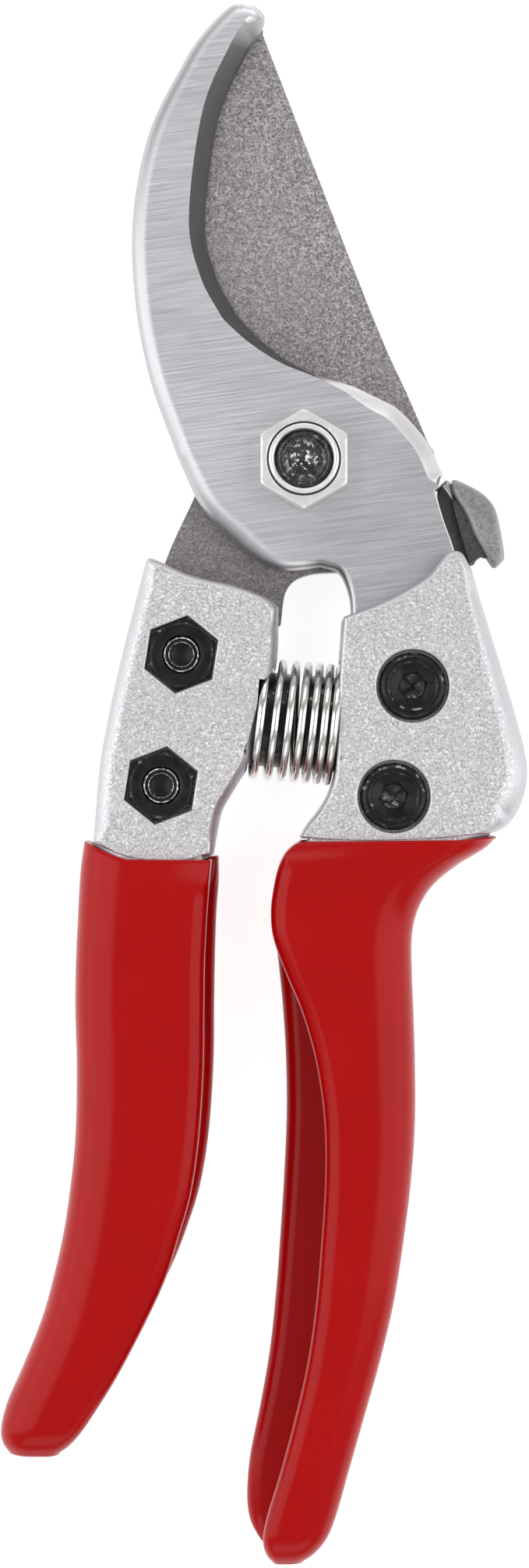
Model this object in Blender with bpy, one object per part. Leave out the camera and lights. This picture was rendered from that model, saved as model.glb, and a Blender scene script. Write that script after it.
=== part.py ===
"""Bypass pruner, 200 mm long, closed and locked, lying on its back.

Axes: X to the right, Y towards the tip, Z up out of the back face.
The origin is on the pivot's axis, in the plane that the pruner lies on.
All dimensions below are in millimetres and are turned into metres when a mesh is made.
"""
import math

import bmesh
import bpy
from mathutils import Matrix, Vector

MM = 0.001
GAP = 0.3                      # clearance between neighbouring pieces
UNTANGLE_SPAN = 12             # longest loop of points that an inset can leave at a corner

# heights above the plane that the pruner lies on
BOLT_HEAD_TOP = 3.4
WASHER_LOW, WASHER_HIGH = 3.7, 4.5
BLADE_LOW, BLADE_HIGH = 4.8, 7.8
HOOK_LOW, HOOK_HIGH = 8.1, 12.4
HOOK_TANG_HIGH = 11.0
PIVOT_NUT_LOW, PIVOT_NUT_HIGH = 12.7, 17.2
CAST_LOW, CAST_HIGH = 1.0, 15.2
GRIP_LOW, GRIP_HIGH = 0.0, 16.2

# pivot
PIVOT_SHANK_RADIUS = 3.6
PIVOT_HEAD_RADIUS = 7.0
PIVOT_NUT_CORNER_RADIUS = 6.35
PIVOT_COLLAR_RADIUS = 4.5
PIVOT_COLLAR_HEIGHT = 0.5
OPENING_DEG = 38.0

# M5 screws and nuts that clamp the blades in the handles
SCREW_RADIUS = 2.3
SCREW_HOLE_RADIUS = 2.6
SCREW_HEAD_RADIUS = 4.3
SCREW_HEAD_THICKNESS = 2.3
NUT_CORNER_RADIUS = 4.62
NUT_THICKNESS = 4.0
SOCKET_RADIUS = 1.95
LEFT_SCREWS = {"left_upper": (-15.6, -24.8), "left_lower": (-18.2, -41.5)}
RIGHT_SCREWS = {"right_upper": (13.9, -28.8), "right_lower": (11.5, -42.9)}
LEFT_NUT_TURN_DEG = 81.0
RIGHT_NUT_TURN_DEG = 30.0
NUT_POCKET_CORNER_RADIUS = 4.98
SOCKET_DEPTH = 1.7
HEAD_SUNK = 0.1                # socket heads lie this much below the casting's face

# thumb lock
LOCK_PIN_AT = (17.0, -13.2)
LOCK_PIN_RADIUS = 1.5
LOCK_PIN_HEAD_RADIUS = 2.6
LOCK_PIN_LOW, LOCK_PIN_HEAD_TOP, LOCK_PIN_TOP = 2.3, 3.5, 10.5
LOCK_RELEASE_DEG = 20.0
LOCK_NOSE = (15.5, -5.6)
LOCK_PAD_LOW, LOCK_PAD_HIGH = 6.2, 10.2
LOCK_RIB_LOW, LOCK_RIB_HIGH = 6.5, 9.3

# return spring
SPRING_RADIUS = 7.4
SPRING_WIRE_RADIUS = 0.52
SPRING_TURNS = 7.0
SPRING_TIGHTENING = 0.26       # share by which the pitch closes towards the right end
SPRING_LEFT_END = (-6.4, -32.8)
SPRING_RIGHT_END = (4.5, -33.7)
SPRING_HEIGHT = 8.4
SPRING_SIDES = 14              # points along one turn
SPIGOT_RADIUS = 6.1
SPIGOT_LENGTH = 5.7
SPIGOT_ROOT = 3.0              # length of a spigot inside its casting
SPIGOT_CHAMFER = 0.8
SEAT_RADIUS = 8.4              # round seat sunk into each casting for the spring's end
SEAT_REACH = 6.0

# grips: wall of the dipped skin, and the channel that each handle is cast as
SKIN = 0.7
CORE_INSET = 1.05              # from the grip's outer surface to the casting inside it
FLANGE = 4.2
WEB = 4.8
CORNER = 4.6
CHANNEL_FILLET = 1.2
LEAST_CHANNEL = 1.0            # depth that the channel starts with at the rim
CAVITY_END = 2.6               # solid length at the closed end of the dipped skin
CORE_END = 3.6                 # the core stops this far from the grip's end
RIGHT_RIM = (0.003, 8.0)       # the rim's bend across the handle, and where it is lowest
LEFT_RIM = (0.0266, -17.3)


# ---------------------------------------------------------------- materials
FINISHES = {
    "polished_steel": ((0.62, 0.62, 0.64), 1.0, 0.32),
    "coated_steel": ((0.20, 0.18, 0.175), 0.5, 0.55),
    "cast_aluminium": ((0.66, 0.65, 0.68), 0.9, 0.45),
    "red_vinyl": ((0.42, 0.008, 0.01), 0.0, 0.25),
    "black_steel": ((0.012, 0.012, 0.013), 0.6, 0.35),
    "bright_plated_steel": ((0.78, 0.78, 0.80), 1.0, 0.2),
    "spring_steel": ((0.60, 0.59, 0.57), 1.0, 0.18),
    "cast_lock_steel": ((0.16, 0.16, 0.165), 0.8, 0.5),
}


def make_finish(name):
    """One Principled material per finish, made once and shared."""
    if name in bpy.data.materials:
        return bpy.data.materials[name]
    colour, metallic, roughness = FINISHES[name]
    material = bpy.data.materials.new(name)
    material.use_nodes = True
    shader = material.node_tree.nodes["Principled BSDF"]
    shader.inputs["Base Color"].default_value = (*colour, 1.0)
    shader.inputs["Metallic"].default_value = metallic
    shader.inputs["Roughness"].default_value = roughness
    return material


# ---------------------------------------------------------------- outlines
def smooth_run(points, per_span=4):
    """Catmull-Rom curve through the points, with straight-on ends."""
    vectors = [Vector(p) for p in points]
    if len(vectors) == 2:
        return vectors
    padded = [2 * vectors[0] - vectors[1], *vectors, 2 * vectors[-1] - vectors[-2]]
    result = []
    for a, b, c, d in zip(padded, padded[1:], padded[2:], padded[3:]):
        for step in range(per_span):
            t = step / per_span
            result.append(0.5 * (2 * b + (c - a) * t + (2 * a - 5 * b + 4 * c - d) * t ** 2
                                 + (3 * b - a - 3 * c + d) * t ** 3))
    result.append(vectors[-1])
    return result


def signed_area(loop):
    """Positive where the loop runs counter-clockwise."""
    return 0.5 * sum(a.x * b.y - b.x * a.y for a, b in zip(loop, loop[1:] + loop[:1]))


def outline(*runs, per_span=3):
    """Closed loop of smooth runs that meet at corners; a shared end point is kept once."""
    loop = []
    for run in runs:
        for point in smooth_run(run, per_span):
            if not loop or (point - loop[-1]).length > 0.05:
                loop.append(point)
    if (loop[0] - loop[-1]).length < 0.05:
        loop.pop()
    return loop if signed_area(loop) > 0 else loop[::-1]


def closed_polygon(corners):
    return outline(*zip(corners, corners[1:] + corners[:1]))


def inward_normals(loop):
    """Unit normals that point into a counter-clockwise loop."""
    normals = []
    for i, point in enumerate(loop):
        before = (point - loop[i - 1]).normalized()
        after = (loop[(i + 1) % len(loop)] - point).normalized()
        along = (before + after).normalized()
        normals.append(Vector((-along.y, along.x)))
    return normals


def inset_loop(loop, distance):
    """The loop moved inwards; a negative distance moves it outwards."""
    return [p + n * distance for p, n in zip(loop, inward_normals(loop))]


def crossing(a, b, c, d):
    """Point where the segment a-b crosses the segment c-d, or None."""
    first = b - a
    second = d - c
    cross = first.x * second.y - first.y * second.x
    if abs(cross) < 1e-9:
        return None
    t = ((c.x - a.x) * second.y - (c.y - a.y) * second.x) / cross
    s = ((c.x - a.x) * first.y - (c.y - a.y) * first.x) / cross
    return a + first * t if 0 <= t <= 1 and 0 <= s <= 1 else None


def untangled(ring):
    """Ring of (x, y, z) whose small loops, left by an inset at a tight corner, become points."""
    ring = list(ring)
    count = len(ring)
    for span in range(2, min(UNTANGLE_SPAN, count // 2)):
        for i in range(count):
            corners = [Vector(ring[k % count][:2]) for k in (i, i + 1, i + span, i + span + 1)]
            meeting = crossing(*corners)
            if meeting is None or (corners[1] - corners[2]).length < 1e-6:
                continue
            inside = [k % count for k in range(i + 1, i + span + 1)]
            height = sum(ring[k][2] for k in inside) / len(inside)
            for k in inside:
                ring[k] = (meeting.x, meeting.y, height)
    return ring


def circle(centre, radius, sides, turn_deg=0.0):
    """Regular polygon, counter-clockwise, with its first corner at turn_deg."""
    loop = []
    for k in range(sides):
        angle = math.radians(turn_deg) + math.tau * k / sides
        loop.append(Vector((centre[0] + radius * math.cos(angle), centre[1] + radius * math.sin(angle))))
    return loop


# ---------------------------------------------------------------- meshes
def new_object(name, work, finish, at=(0.0, 0.0, 0.0)):
    """Object in metres from a bmesh in millimetres, with its origin at the given point."""
    bmesh.ops.remove_doubles(work, verts=work.verts, dist=1e-4)
    bmesh.ops.recalc_face_normals(work, faces=work.faces)
    work.transform(Matrix.Translation(-Vector(at)))
    work.transform(Matrix.Scale(MM, 4))
    mesh = bpy.data.meshes.new(name)
    work.to_mesh(mesh)
    work.free()
    mesh.shade_smooth()
    mesh.set_sharp_from_angle(angle=math.radians(30))
    item = bpy.data.objects.new(name, mesh)
    item.location = Vector(at) * MM
    bpy.context.scene.collection.objects.link(item)
    if finish:
        mesh.materials.append(make_finish(finish))
    return item


def skin_rings(work, rings):
    """Faces between successive closed rings of the same length, closed flat at both ends."""
    loops = [[work.verts.new(p) for p in ring] for ring in rings]
    count = len(loops[0])
    for low, high in zip(loops, loops[1:]):
        for i in range(count):
            j = (i + 1) % count
            work.faces.new((low[i], low[j], high[j], high[i]))
    work.faces.new(loops[0][::-1])
    work.faces.new(loops[-1])


def plate_rings(loop, z_low, z_high, edge_low=0.0, edge_high=0.0, steps=2):
    """Rings of a plate whose lower and upper edges are rounded by quarter circles."""
    rings = []
    if edge_low:
        for k in range(steps + 1):
            angle = 0.5 * math.pi * k / steps
            level = z_low + edge_low * (1 - math.sin(angle))
            rings.append((edge_low * (1 - math.cos(angle)), level))
        rings.reverse()
    else:
        rings.append((0.0, z_low))
    if edge_high:
        for k in range(steps + 1):
            angle = 0.5 * math.pi * k / steps
            rings.append((edge_high * (1 - math.cos(angle)), z_high - edge_high * (1 - math.sin(angle))))
    else:
        rings.append((0.0, z_high))
    return [untangled([(p.x, p.y, z) for p in inset_loop(loop, inset)]) for inset, z in rings]


def add_plate(work, loop, z_low, z_high, edge_low=0.0, edge_high=0.0, steps=2):
    skin_rings(work, plate_rings(loop, z_low, z_high, edge_low, edge_high, steps))


def plate_object(name, loop, z_low, z_high, finish=None, **edges):
    work = bmesh.new()
    add_plate(work, loop, z_low, z_high, **edges)
    return new_object(name, work, finish)


def turned_object(name, profile, centre, finish=None, sides=24):
    """Solid of revolution about Z; profile is (radius, height) pairs from bottom to top."""
    work = bmesh.new()
    rings = [[(p.x, p.y, z) for p in circle(centre, radius, sides)] for radius, z in profile]
    skin_rings(work, rings)
    return new_object(name, work, finish, at=(centre[0], centre[1], 0.0))


def boolean(target, tools, operation):
    """Keep the modifiers on the piece; the tools are guides and are not pieces themselves."""
    for tool in tools:
        tool.hide_render = True
        tool.display_type = "WIRE"
        modifier = target.modifiers.new(tool.name, "BOOLEAN")
        modifier.operation = operation
        modifier.object = tool
        modifier.solver = "EXACT"


def cut(target, *tools):
    boolean(target, tools, "DIFFERENCE")


def join(target, *tools):
    boolean(target, tools, "UNION")


# ---------------------------------------------------------------- hook and cutting blade
HOOK_OUTER = [(-7.7, 59.2), (-9.6, 58.7), (-12.9, 55.4), (-15.5, 51.5), (-19.8, 42.8), (-21.9, 32.5),
              (-21.8, 22.1), (-19.9, 11.3), (-16.1, 0.6), (-12.8, -6.1), (-7.7, -11.2), (-2.3, -13.8),
              (2.2, -13.3), (4.6, -14.1), (5.9, -17.0), (6.2, -20.5)]
HOOK_TANG = [(6.2, -20.5), (7.9, -26.5), (7.2, -34.0), (6.3, -42.5), (9.5, -47.0), (14.0, -46.5),
             (16.6, -41.0), (19.2, -29.0), (20.4, -17.0)]
HOOK_RIGHT = [(20.4, -17.0), (19.4, -11.6), (17.9, -7.2), (16.9, -3.7)]
HOOK_NOSE = [(16.9, -3.7), (17.7, -3.1), (18.5, -2.4)]
HOOK_SHOULDER = [(18.5, -2.4), (17.7, -1.0), (16.0, 2.6), (12.4, 6.7), (6.6, 9.7), (1.4, 11.3)]
HOOK_INNER = [(1.4, 11.3), (-5.5, 16.0), (-10.7, 22.5), (-12.7, 31.6), (-11.0, 44.6), (-7.7, 52.4),
              (-5.5, 56.0)]
HOOK_TIP = [(-5.5, 56.0), (-4.95, 57.4), (-6.0, 58.7), (-7.7, 59.2)]
HOOK_LAND = 0.9                # square strip beside the shearing edge
HOOK_OUTER_ROUND = 1.9
HOOK_INNER_SLOPE = 2.0
HOOK_SHOULDER_SLOPE = 1.7
HOOK_TIP_ROUND = 1.5
HOOK_GAP_ROUND = 0.5
TANG_REBATE = [(1.0, -23.6), (9.5, -20.6), (14.8, -18.6), (18.4, -14.8), (24.0, -14.8), (24.0, -60.0),
               (1.0, -60.0)]

BLADE_SPINE = [(-5.1, 55.6), (5.1, 29.3), (10.5, 15.8), (13.5, 9.3), (16.2, 3.0)]
BLADE_HEEL = [(15.0, -8.4), (11.5, -12.2), (6.5, -13.6), (0.7, -14.1), (-2.1, -16.0), (-2.9, -20.6)]
BLADE_TANG = [(-2.9, -20.6), (-8.3, -26.0), (-10.6, -33.0), (-13.0, -43.0), (-17.5, -47.2),
              (-22.4, -44.5), (-22.2, -36.0), (-20.0, -22.0), (-18.0, -12.9), (-14.1, -4.1)]
BLADE_EDGE = [(-14.1, -4.1), (-13.8, 4.0), (-16.6, 15.0), (-17.2, 27.0), (-15.4, 38.0), (-11.6, 47.0),
              (-5.9, 56.2), (-5.1, 55.6)]
BLADE_BEVEL = 3.4              # width of the ground slope behind the cutting edge
BLADE_SHOULDER_RADIUS = 17.1
NOTCH_CLEARANCE = 0.4          # between the notch and the lock's nose
NOTCH_WALL_DEG = 5.0           # the notch's square wall, below the nose


def nose_radius(opening_deg):
    """Distance of the lock's nose from the pivot once the lock has followed the blade."""
    pin = Vector(LOCK_PIN_AT)
    arm = Vector(LOCK_NOSE) - pin
    turned = Matrix.Rotation(-math.radians(opening_deg * LOCK_RELEASE_DEG / OPENING_DEG), 2) @ arm
    return (pin + turned).length


def blade_shoulder():
    """Round shoulder at the pivot, with a notch whose flank stays clear of the lock's nose."""
    nose_angle = math.degrees(math.atan2(LOCK_NOSE[1], LOCK_NOSE[0]))
    points = []
    for opening in range(26, -1, -2):
        reach = min(BLADE_SHOULDER_RADIUS, nose_radius(opening) - NOTCH_CLEARANCE)
        angle = math.radians(nose_angle + opening)
        points.append((reach * math.cos(angle), reach * math.sin(angle)))
    wall = math.radians(nose_angle - NOTCH_WALL_DEG)
    for reach in (nose_radius(0.0) - NOTCH_CLEARANCE, BLADE_SHOULDER_RADIUS):
        points.append((reach * math.cos(wall), reach * math.sin(wall)))
    return points


def joined_runs(runs):
    """Loop of smooth runs, with each point's edge width, edge depth and roundness.

    Each run is (points, width, depth, roundness); neighbouring values are averaged so
    that one kind of edge runs smoothly into the next.
    """
    loop = []
    edges = []
    for points, *edge in runs:
        for point in smooth_run(points, 3):
            if not loop or (point - loop[-1]).length > 0.05:
                loop.append(point)
                edges.append(Vector(edge))
    if (loop[0] - loop[-1]).length < 0.05:
        loop.pop()
        edges.pop()
    if signed_area(loop) < 0:
        loop.reverse()
        edges.reverse()
    for _ in range(2):
        edges = [(edges[i - 1] + edges[i] + edges[(i + 1) % len(edges)]) / 3 for i in range(len(edges))]
    return loop, edges


def edged_rings(runs, z_low, z_high, low_share, steps=3):
    """Rings of a plate whose edge changes along its outline.

    A rounded edge is a quarter ellipse and a ground one is a straight slope. The lower
    edge has low_share of the upper one's width and depth.
    """
    loop, edges = joined_runs(runs)
    normals = inward_normals(loop)
    rings = []
    for low in (True, False):
        if low and not low_share:
            rings.append([(p.x, p.y, z_low) for p in loop])
            continue
        for k in range(steps + 1):
            t = 1 - k / steps if low else k / steps
            ring = []
            for point, normal, (width, depth, roundness) in zip(loop, normals, edges):
                share = low_share if low else 1.0
                across = t + roundness * (1 - math.cos(0.5 * math.pi * t) - t)
                below = 1 - t + roundness * (t - math.sin(0.5 * math.pi * t))
                place = point + normal * width * across * share
                depth_here = depth * below * share
                ring.append((place.x, place.y, z_low + depth_here if low else z_high - depth_here))
            rings.append(untangled(ring))
    return rings


def edged_plate(name, runs, z_low, z_high, finish, low_share=1.0, steps=3):
    work = bmesh.new()
    skin_rings(work, edged_rings(runs, z_low, z_high, low_share, steps))
    return new_object(name, work, finish)


def post(name, centre, radius, z_low, z_high, sides=24, turn_deg=0.0):
    """Upright prism used as a cutter or joined to a casting."""
    return plate_object(name, circle(centre, radius, sides, turn_deg), z_low, z_high)


def make_hook():
    """Counter blade: a round-backed hook that ends in a thinner tang inside the handle."""
    slope_depth = HOOK_HIGH - HOOK_LOW - HOOK_LAND
    runs = [(HOOK_OUTER[:-3], HOOK_OUTER_ROUND, HOOK_OUTER_ROUND, 1.0),
            (HOOK_OUTER[-4:], HOOK_GAP_ROUND, HOOK_GAP_ROUND, 1.0),
            (HOOK_TANG, 0.2, 0.2, 1.0),
            (HOOK_RIGHT, 0.2, 0.2, 1.0),
            (HOOK_NOSE, 0.2, 0.2, 1.0),
            (HOOK_SHOULDER, HOOK_SHOULDER_SLOPE, HOOK_SHOULDER_SLOPE, 0.0),
            (HOOK_INNER, HOOK_INNER_SLOPE, slope_depth, 0.0),
            (HOOK_TIP, HOOK_TIP_ROUND, HOOK_TIP_ROUND, 1.0)]
    hook = edged_plate("counter_blade", runs, HOOK_LOW, HOOK_HIGH, "polished_steel", low_share=0.0)
    rebate = plate_object("hook_rebate_cutter", closed_polygon(TANG_REBATE), HOOK_TANG_HIGH, HOOK_HIGH + 1)
    holes = [post("hook_pivot_cutter", (0, 0), PIVOT_SHANK_RADIUS + GAP, HOOK_LOW - 1, HOOK_HIGH + 1),
             post("hook_lock_pin_cutter", LOCK_PIN_AT, LOCK_PIN_RADIUS + GAP, HOOK_LOW - 1,
                  LOCK_PIN_TOP + GAP)]
    for name, centre in RIGHT_SCREWS.items():
        holes.append(post("hook_" + name + "_cutter", centre, SCREW_HOLE_RADIUS, HOOK_LOW - 1,
                          HOOK_HIGH + 1))
    cut(hook, rebate, *holes)
    return hook


def make_cutting_blade():
    """Flat towards the hook, with the cutting edge ground on the other side."""
    loop = outline(BLADE_SPINE, blade_shoulder(), BLADE_HEEL, BLADE_TANG, BLADE_EDGE)
    tip = Vector(BLADE_SPINE[0])
    edge_points = smooth_run(BLADE_EDGE, 3)
    low = []
    middle = []
    for point, normal in zip(loop, inward_normals(loop)):
        on_edge = min((point - other).length for other in edge_points[2:]) < 0.01
        width = min(BLADE_BEVEL, 0.35 * (point - tip).length) if on_edge else 0.2
        inner = point + normal * width
        low.append((inner.x, inner.y, BLADE_LOW))
        middle.append((point.x, point.y, BLADE_HIGH - 0.3 if on_edge else BLADE_LOW + 0.2))
    work = bmesh.new()
    skin_rings(work, [low, middle, [(p.x, p.y, BLADE_HIGH) for p in loop]])
    blade = new_object("cutting_blade", work, "coated_steel")
    holes = [post("blade_pivot_cutter", (0, 0), PIVOT_SHANK_RADIUS + GAP, BLADE_LOW - 1, BLADE_HIGH + 1)]
    for name, centre in LEFT_SCREWS.items():
        holes.append(post("blade_" + name + "_cutter", centre, SCREW_HOLE_RADIUS, BLADE_LOW - 1,
                          BLADE_HIGH + 1))
    cut(blade, *holes)
    return blade


# ---------------------------------------------------------------- handles and grips
# Stations run down each handle: (y, palm side, front flange tip, rear flange tip).
# Distances across the handle are measured away from the other handle.
RIGHT_STATIONS = [(-48.9, 24.9, -0.9, -0.5), (-50.2, 23.3, -2.3, -1.9), (-52.0, 19.8, -3.2, -2.8),
                  (-54.4, 16.7, -3.8, -3.4), (-57.4, 14.8, -4.2, -3.8), (-60.9, 14.0, -3.9, -3.6),
                  (-65.4, 14.0, -2.3, -3.1), (-70.5, 14.2, -0.2, -2.6), (-77.0, 14.4, 1.6, -2.2),
                  (-84.4, 14.4, 2.6, -2.1), (-92.0, 13.9, 2.7, -2.4), (-100.0, 12.9, 2.2, -2.9),
                  (-108.0, 11.6, 1.5, -3.5), (-115.5, 9.8, 0.4, -4.3), (-122.5, 7.8, -1.2, -5.5),
                  (-129.5, 5.8, -3.1, -6.9), (-134.5, 4.4, -4.6, -7.3), (-137.6, 3.2, -5.2, -7.0),
                  (-139.6, 1.7, -4.9, -6.0), (-140.9, 0.0, -4.1, -4.7), (-141.5, -1.4, -3.2, -3.4)]
LEFT_STATIONS = [(-51.7, 28.2, 11.7, 11.0), (-54.6, 28.7, 12.0, 11.0), (-58.0, 29.0, 12.3, 11.3),
                 (-63.6, 29.3, 12.6, 11.5), (-70.0, 29.4, 12.7, 11.6), (-78.0, 29.2, 12.8, 11.7),
                 (-86.8, 29.4, 13.4, 12.3), (-93.7, 30.1, 14.4, 13.4), (-99.0, 30.9, 15.9, 15.0),
                 (-104.4, 32.1, 17.6, 17.1), (-110.1, 33.7, 20.2, 20.0), (-116.6, 36.3, 23.6, 23.5),
                 (-121.0, 38.2, 26.3, 26.2), (-124.5, 38.9, 28.7, 28.6), (-126.6, 38.2, 30.7, 30.6),
                 (-127.8, 36.6, 33.0, 33.0)]
RIGHT_CORE_TOP = [(-44.4, 26.3, 3.0, 3.0), (-46.6, 25.8, 1.0, 1.0)]
LEFT_CORE_TOP = [(-44.4, 27.0, 13.3, 13.0), (-48.4, 27.6, 12.0, 11.6)]
GRIP_END_ROUND = 4.6           # height taken off the front and the back at the grip's end
CHANNEL_TOP_FADE = (1.5, 8.0)  # the channel deepens between these distances below the rim


def channel_section(palm, front, rear, inset, shrink, opening):
    """C-shaped section as (across, height) pairs, open towards the other handle."""
    low = GRIP_LOW + shrink
    high = GRIP_HIGH - shrink
    tip = max(front, rear)
    width = palm - tip
    flange = min(FLANGE, 0.36 * (high - low))
    web = min(WEB, 0.5 * width)
    shallow = min(LEAST_CHANNEL, width - web)
    depth = shallow + opening * (width - web - shallow)
    corner = max(min(CORNER, 0.45 * width, 0.4 * (high - low)) - inset, 0.2)
    floor = tip + depth + inset
    flange -= 2 * inset
    lip = min(0.5 * flange, 0.45 * depth)
    fillet = min(CHANNEL_FILLET + inset, 0.5 * depth)
    palm -= inset
    front += inset
    rear += inset
    low += inset
    high -= inset

    def arc(centre_across, centre_height, radius_across, radius_height, start_deg, end_deg, steps):
        for k in range(steps + 1):
            angle = math.radians(start_deg + (end_deg - start_deg) * k / steps)
            yield (centre_across + radius_across * math.cos(angle),
                   centre_height + radius_height * math.sin(angle))

    return [*arc(front + lip, high - 0.5 * flange, lip, 0.5 * flange, 270, 90, 2),
            *arc(palm - corner, high - corner, corner, corner, 90, 0, 3),
            *arc(palm - corner, low + corner, corner, corner, 0, -90, 3),
            *arc(rear + lip, low + 0.5 * flange, lip, 0.5 * flange, 270, 90, 2),
            *arc(floor - fillet, low + flange + fillet, fillet, fillet, -90, 0, 1),
            *arc(floor - fillet, high - flange - fillet, fillet, fillet, 0, 90, 1)]


def handle_rings(stations, side, inset, rim, last_y):
    """Rings of a handle from its top station down to last_y; the rim bends up at its sides."""
    bend, lowest = rim
    end_y = (RIGHT_STATIONS if side > 0 else LEFT_STATIONS)[-1][0]
    rim_y = (RIGHT_STATIONS if side > 0 else LEFT_STATIONS)[0][0]
    rings = []
    for y, palm, front, rear in stations:
        if y < last_y:
            break
        near_end = max(0.0, 1 - (y - end_y) / GRIP_END_ROUND)
        shrink = GRIP_END_ROUND * (1 - math.sqrt(max(0.0, 1 - near_end ** 2)))
        fade_from, fade_to = CHANNEL_TOP_FADE
        opening = min(1.0, max(0.0, (rim_y - y - fade_from) / (fade_to - fade_from)))
        section = channel_section(palm, front, rear, inset, shrink, opening)
        rise = max(0.0, 1 - (rim_y - y) / fade_to) if y <= rim_y else 1.0
        rings.append([(side * u, y + rise * bend * (side * u - lowest) ** 2, z) for u, z in section])
    return rings


def make_grip(name, stations, side, rim):
    """Dipped skin: an outer surface and a cavity for the cast core, joined at the rim."""
    end_y = stations[-1][0]
    outer = handle_rings(stations, side, 0.0, rim, end_y - 1)
    cavity = handle_rings(stations, side, SKIN, rim, end_y + CAVITY_END)
    work = bmesh.new()
    skin_rings(work, cavity[::-1] + outer)
    return new_object(name, work, "red_vinyl")


def make_core(name, top, stations, side, rim):
    end_y = stations[-1][0]
    rings = handle_rings(top + stations, side, CORE_INSET, rim, end_y + CORE_END)
    work = bmesh.new()
    skin_rings(work, rings)
    return new_object(name, work, None)


def spring_axis():
    return (Vector(SPRING_RIGHT_END) - Vector(SPRING_LEFT_END)).normalized()


def on_spring_axis(name, end, direction, steps):
    """Round piece carried along the spring's axis through (distance, radius) steps.

    Distances count from the floor of the seat, which lies just behind the spring's end.
    """
    along = Vector((direction.x, direction.y, 0.0))
    across = Vector((-direction.y, direction.x, 0.0))
    floor = Vector((*end, SPRING_HEIGHT)) - along * (SPRING_WIRE_RADIUS + GAP)
    rings = []
    for distance, radius in steps:
        centre = floor + along * distance
        rings.append([tuple(centre + across * p.x + Vector((0, 0, p.y)))
                      for p in circle((0, 0), radius, 24)])
    work = bmesh.new()
    skin_rings(work, rings)
    return new_object(name, work, None)


def seat_spring(handle, side, end, direction):
    """Sinks the spring's seat into the casting and adds the spigot that stands in it."""
    cut(handle, on_spring_axis(side + "_seat", end, direction, [
        (0.0, SEAT_RADIUS), (SEAT_REACH, SEAT_RADIUS)]))
    join(handle, on_spring_axis(side + "_spigot", end, direction, [
        (-SPIGOT_ROOT, SPIGOT_RADIUS), (SPIGOT_LENGTH - SPIGOT_CHAMFER, SPIGOT_RADIUS),
        (SPIGOT_LENGTH, SPIGOT_RADIUS - SPIGOT_CHAMFER)]))


RIGHT_HEAD_TOP = [(5.1, -20.0), (10.7, -17.8), (15.5, -15.0), (17.8, -12.3), (18.9, -11.6), (20.1, -11.8),
                  (20.9, -12.9), (21.5, -14.0)]
RIGHT_HEAD_PALM = [(21.5, -14.0), (24.2, -22.7), (27.6, -34.0), (28.7, -39.7), (27.9, -43.8),
                   (26.3, -46.4), (24.4, -47.5)]
RIGHT_HEAD_BOTTOM = [(24.4, -47.5), (16.0, -48.3), (8.0, -48.6), (-0.4, -48.2)]
RIGHT_HEAD_INNER = [(-0.4, -48.2), (0.6, -46.5), (2.0, -44.7), (3.3, -42.4), (4.1, -39.4), (4.3, -34.0),
                    (4.6, -27.0), (5.1, -20.0)]
LEFT_HEAD_TOP = [(-20.2, -12.9), (-19.3, -12.5), (-14.6, -14.6), (-8.5, -16.1), (-4.6, -17.6),
                 (-3.2, -18.8)]
LEFT_HEAD_INNER = [(-3.2, -18.8), (-3.4, -25.5), (-4.9, -31.2), (-6.8, -38.2), (-8.3, -41.0),
                   (-10.4, -44.6), (-11.1, -47.5), (-11.6, -50.4)]
LEFT_HEAD_BOTTOM = [(-11.6, -50.4), (-17.3, -51.3), (-22.5, -50.6), (-26.9, -48.8)]
LEFT_HEAD_PALM = [(-26.9, -48.8), (-26.2, -39.7), (-25.2, -33.7), (-23.9, -27.5), (-22.2, -20.5),
                  (-20.2, -12.9)]


SLOT_ABOVE_REBATE = [(-2.0, -23.9), (9.5, -20.9), (14.8, -18.9), (18.4, -15.1), (32.0, -15.1),
                     (32.0, 0.0), (-2.0, 0.0)]
LOCK_ROOM = [(8.0, -17.8), (32.0, -17.8), (32.0, 0.0), (8.0, 0.0)]


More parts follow.
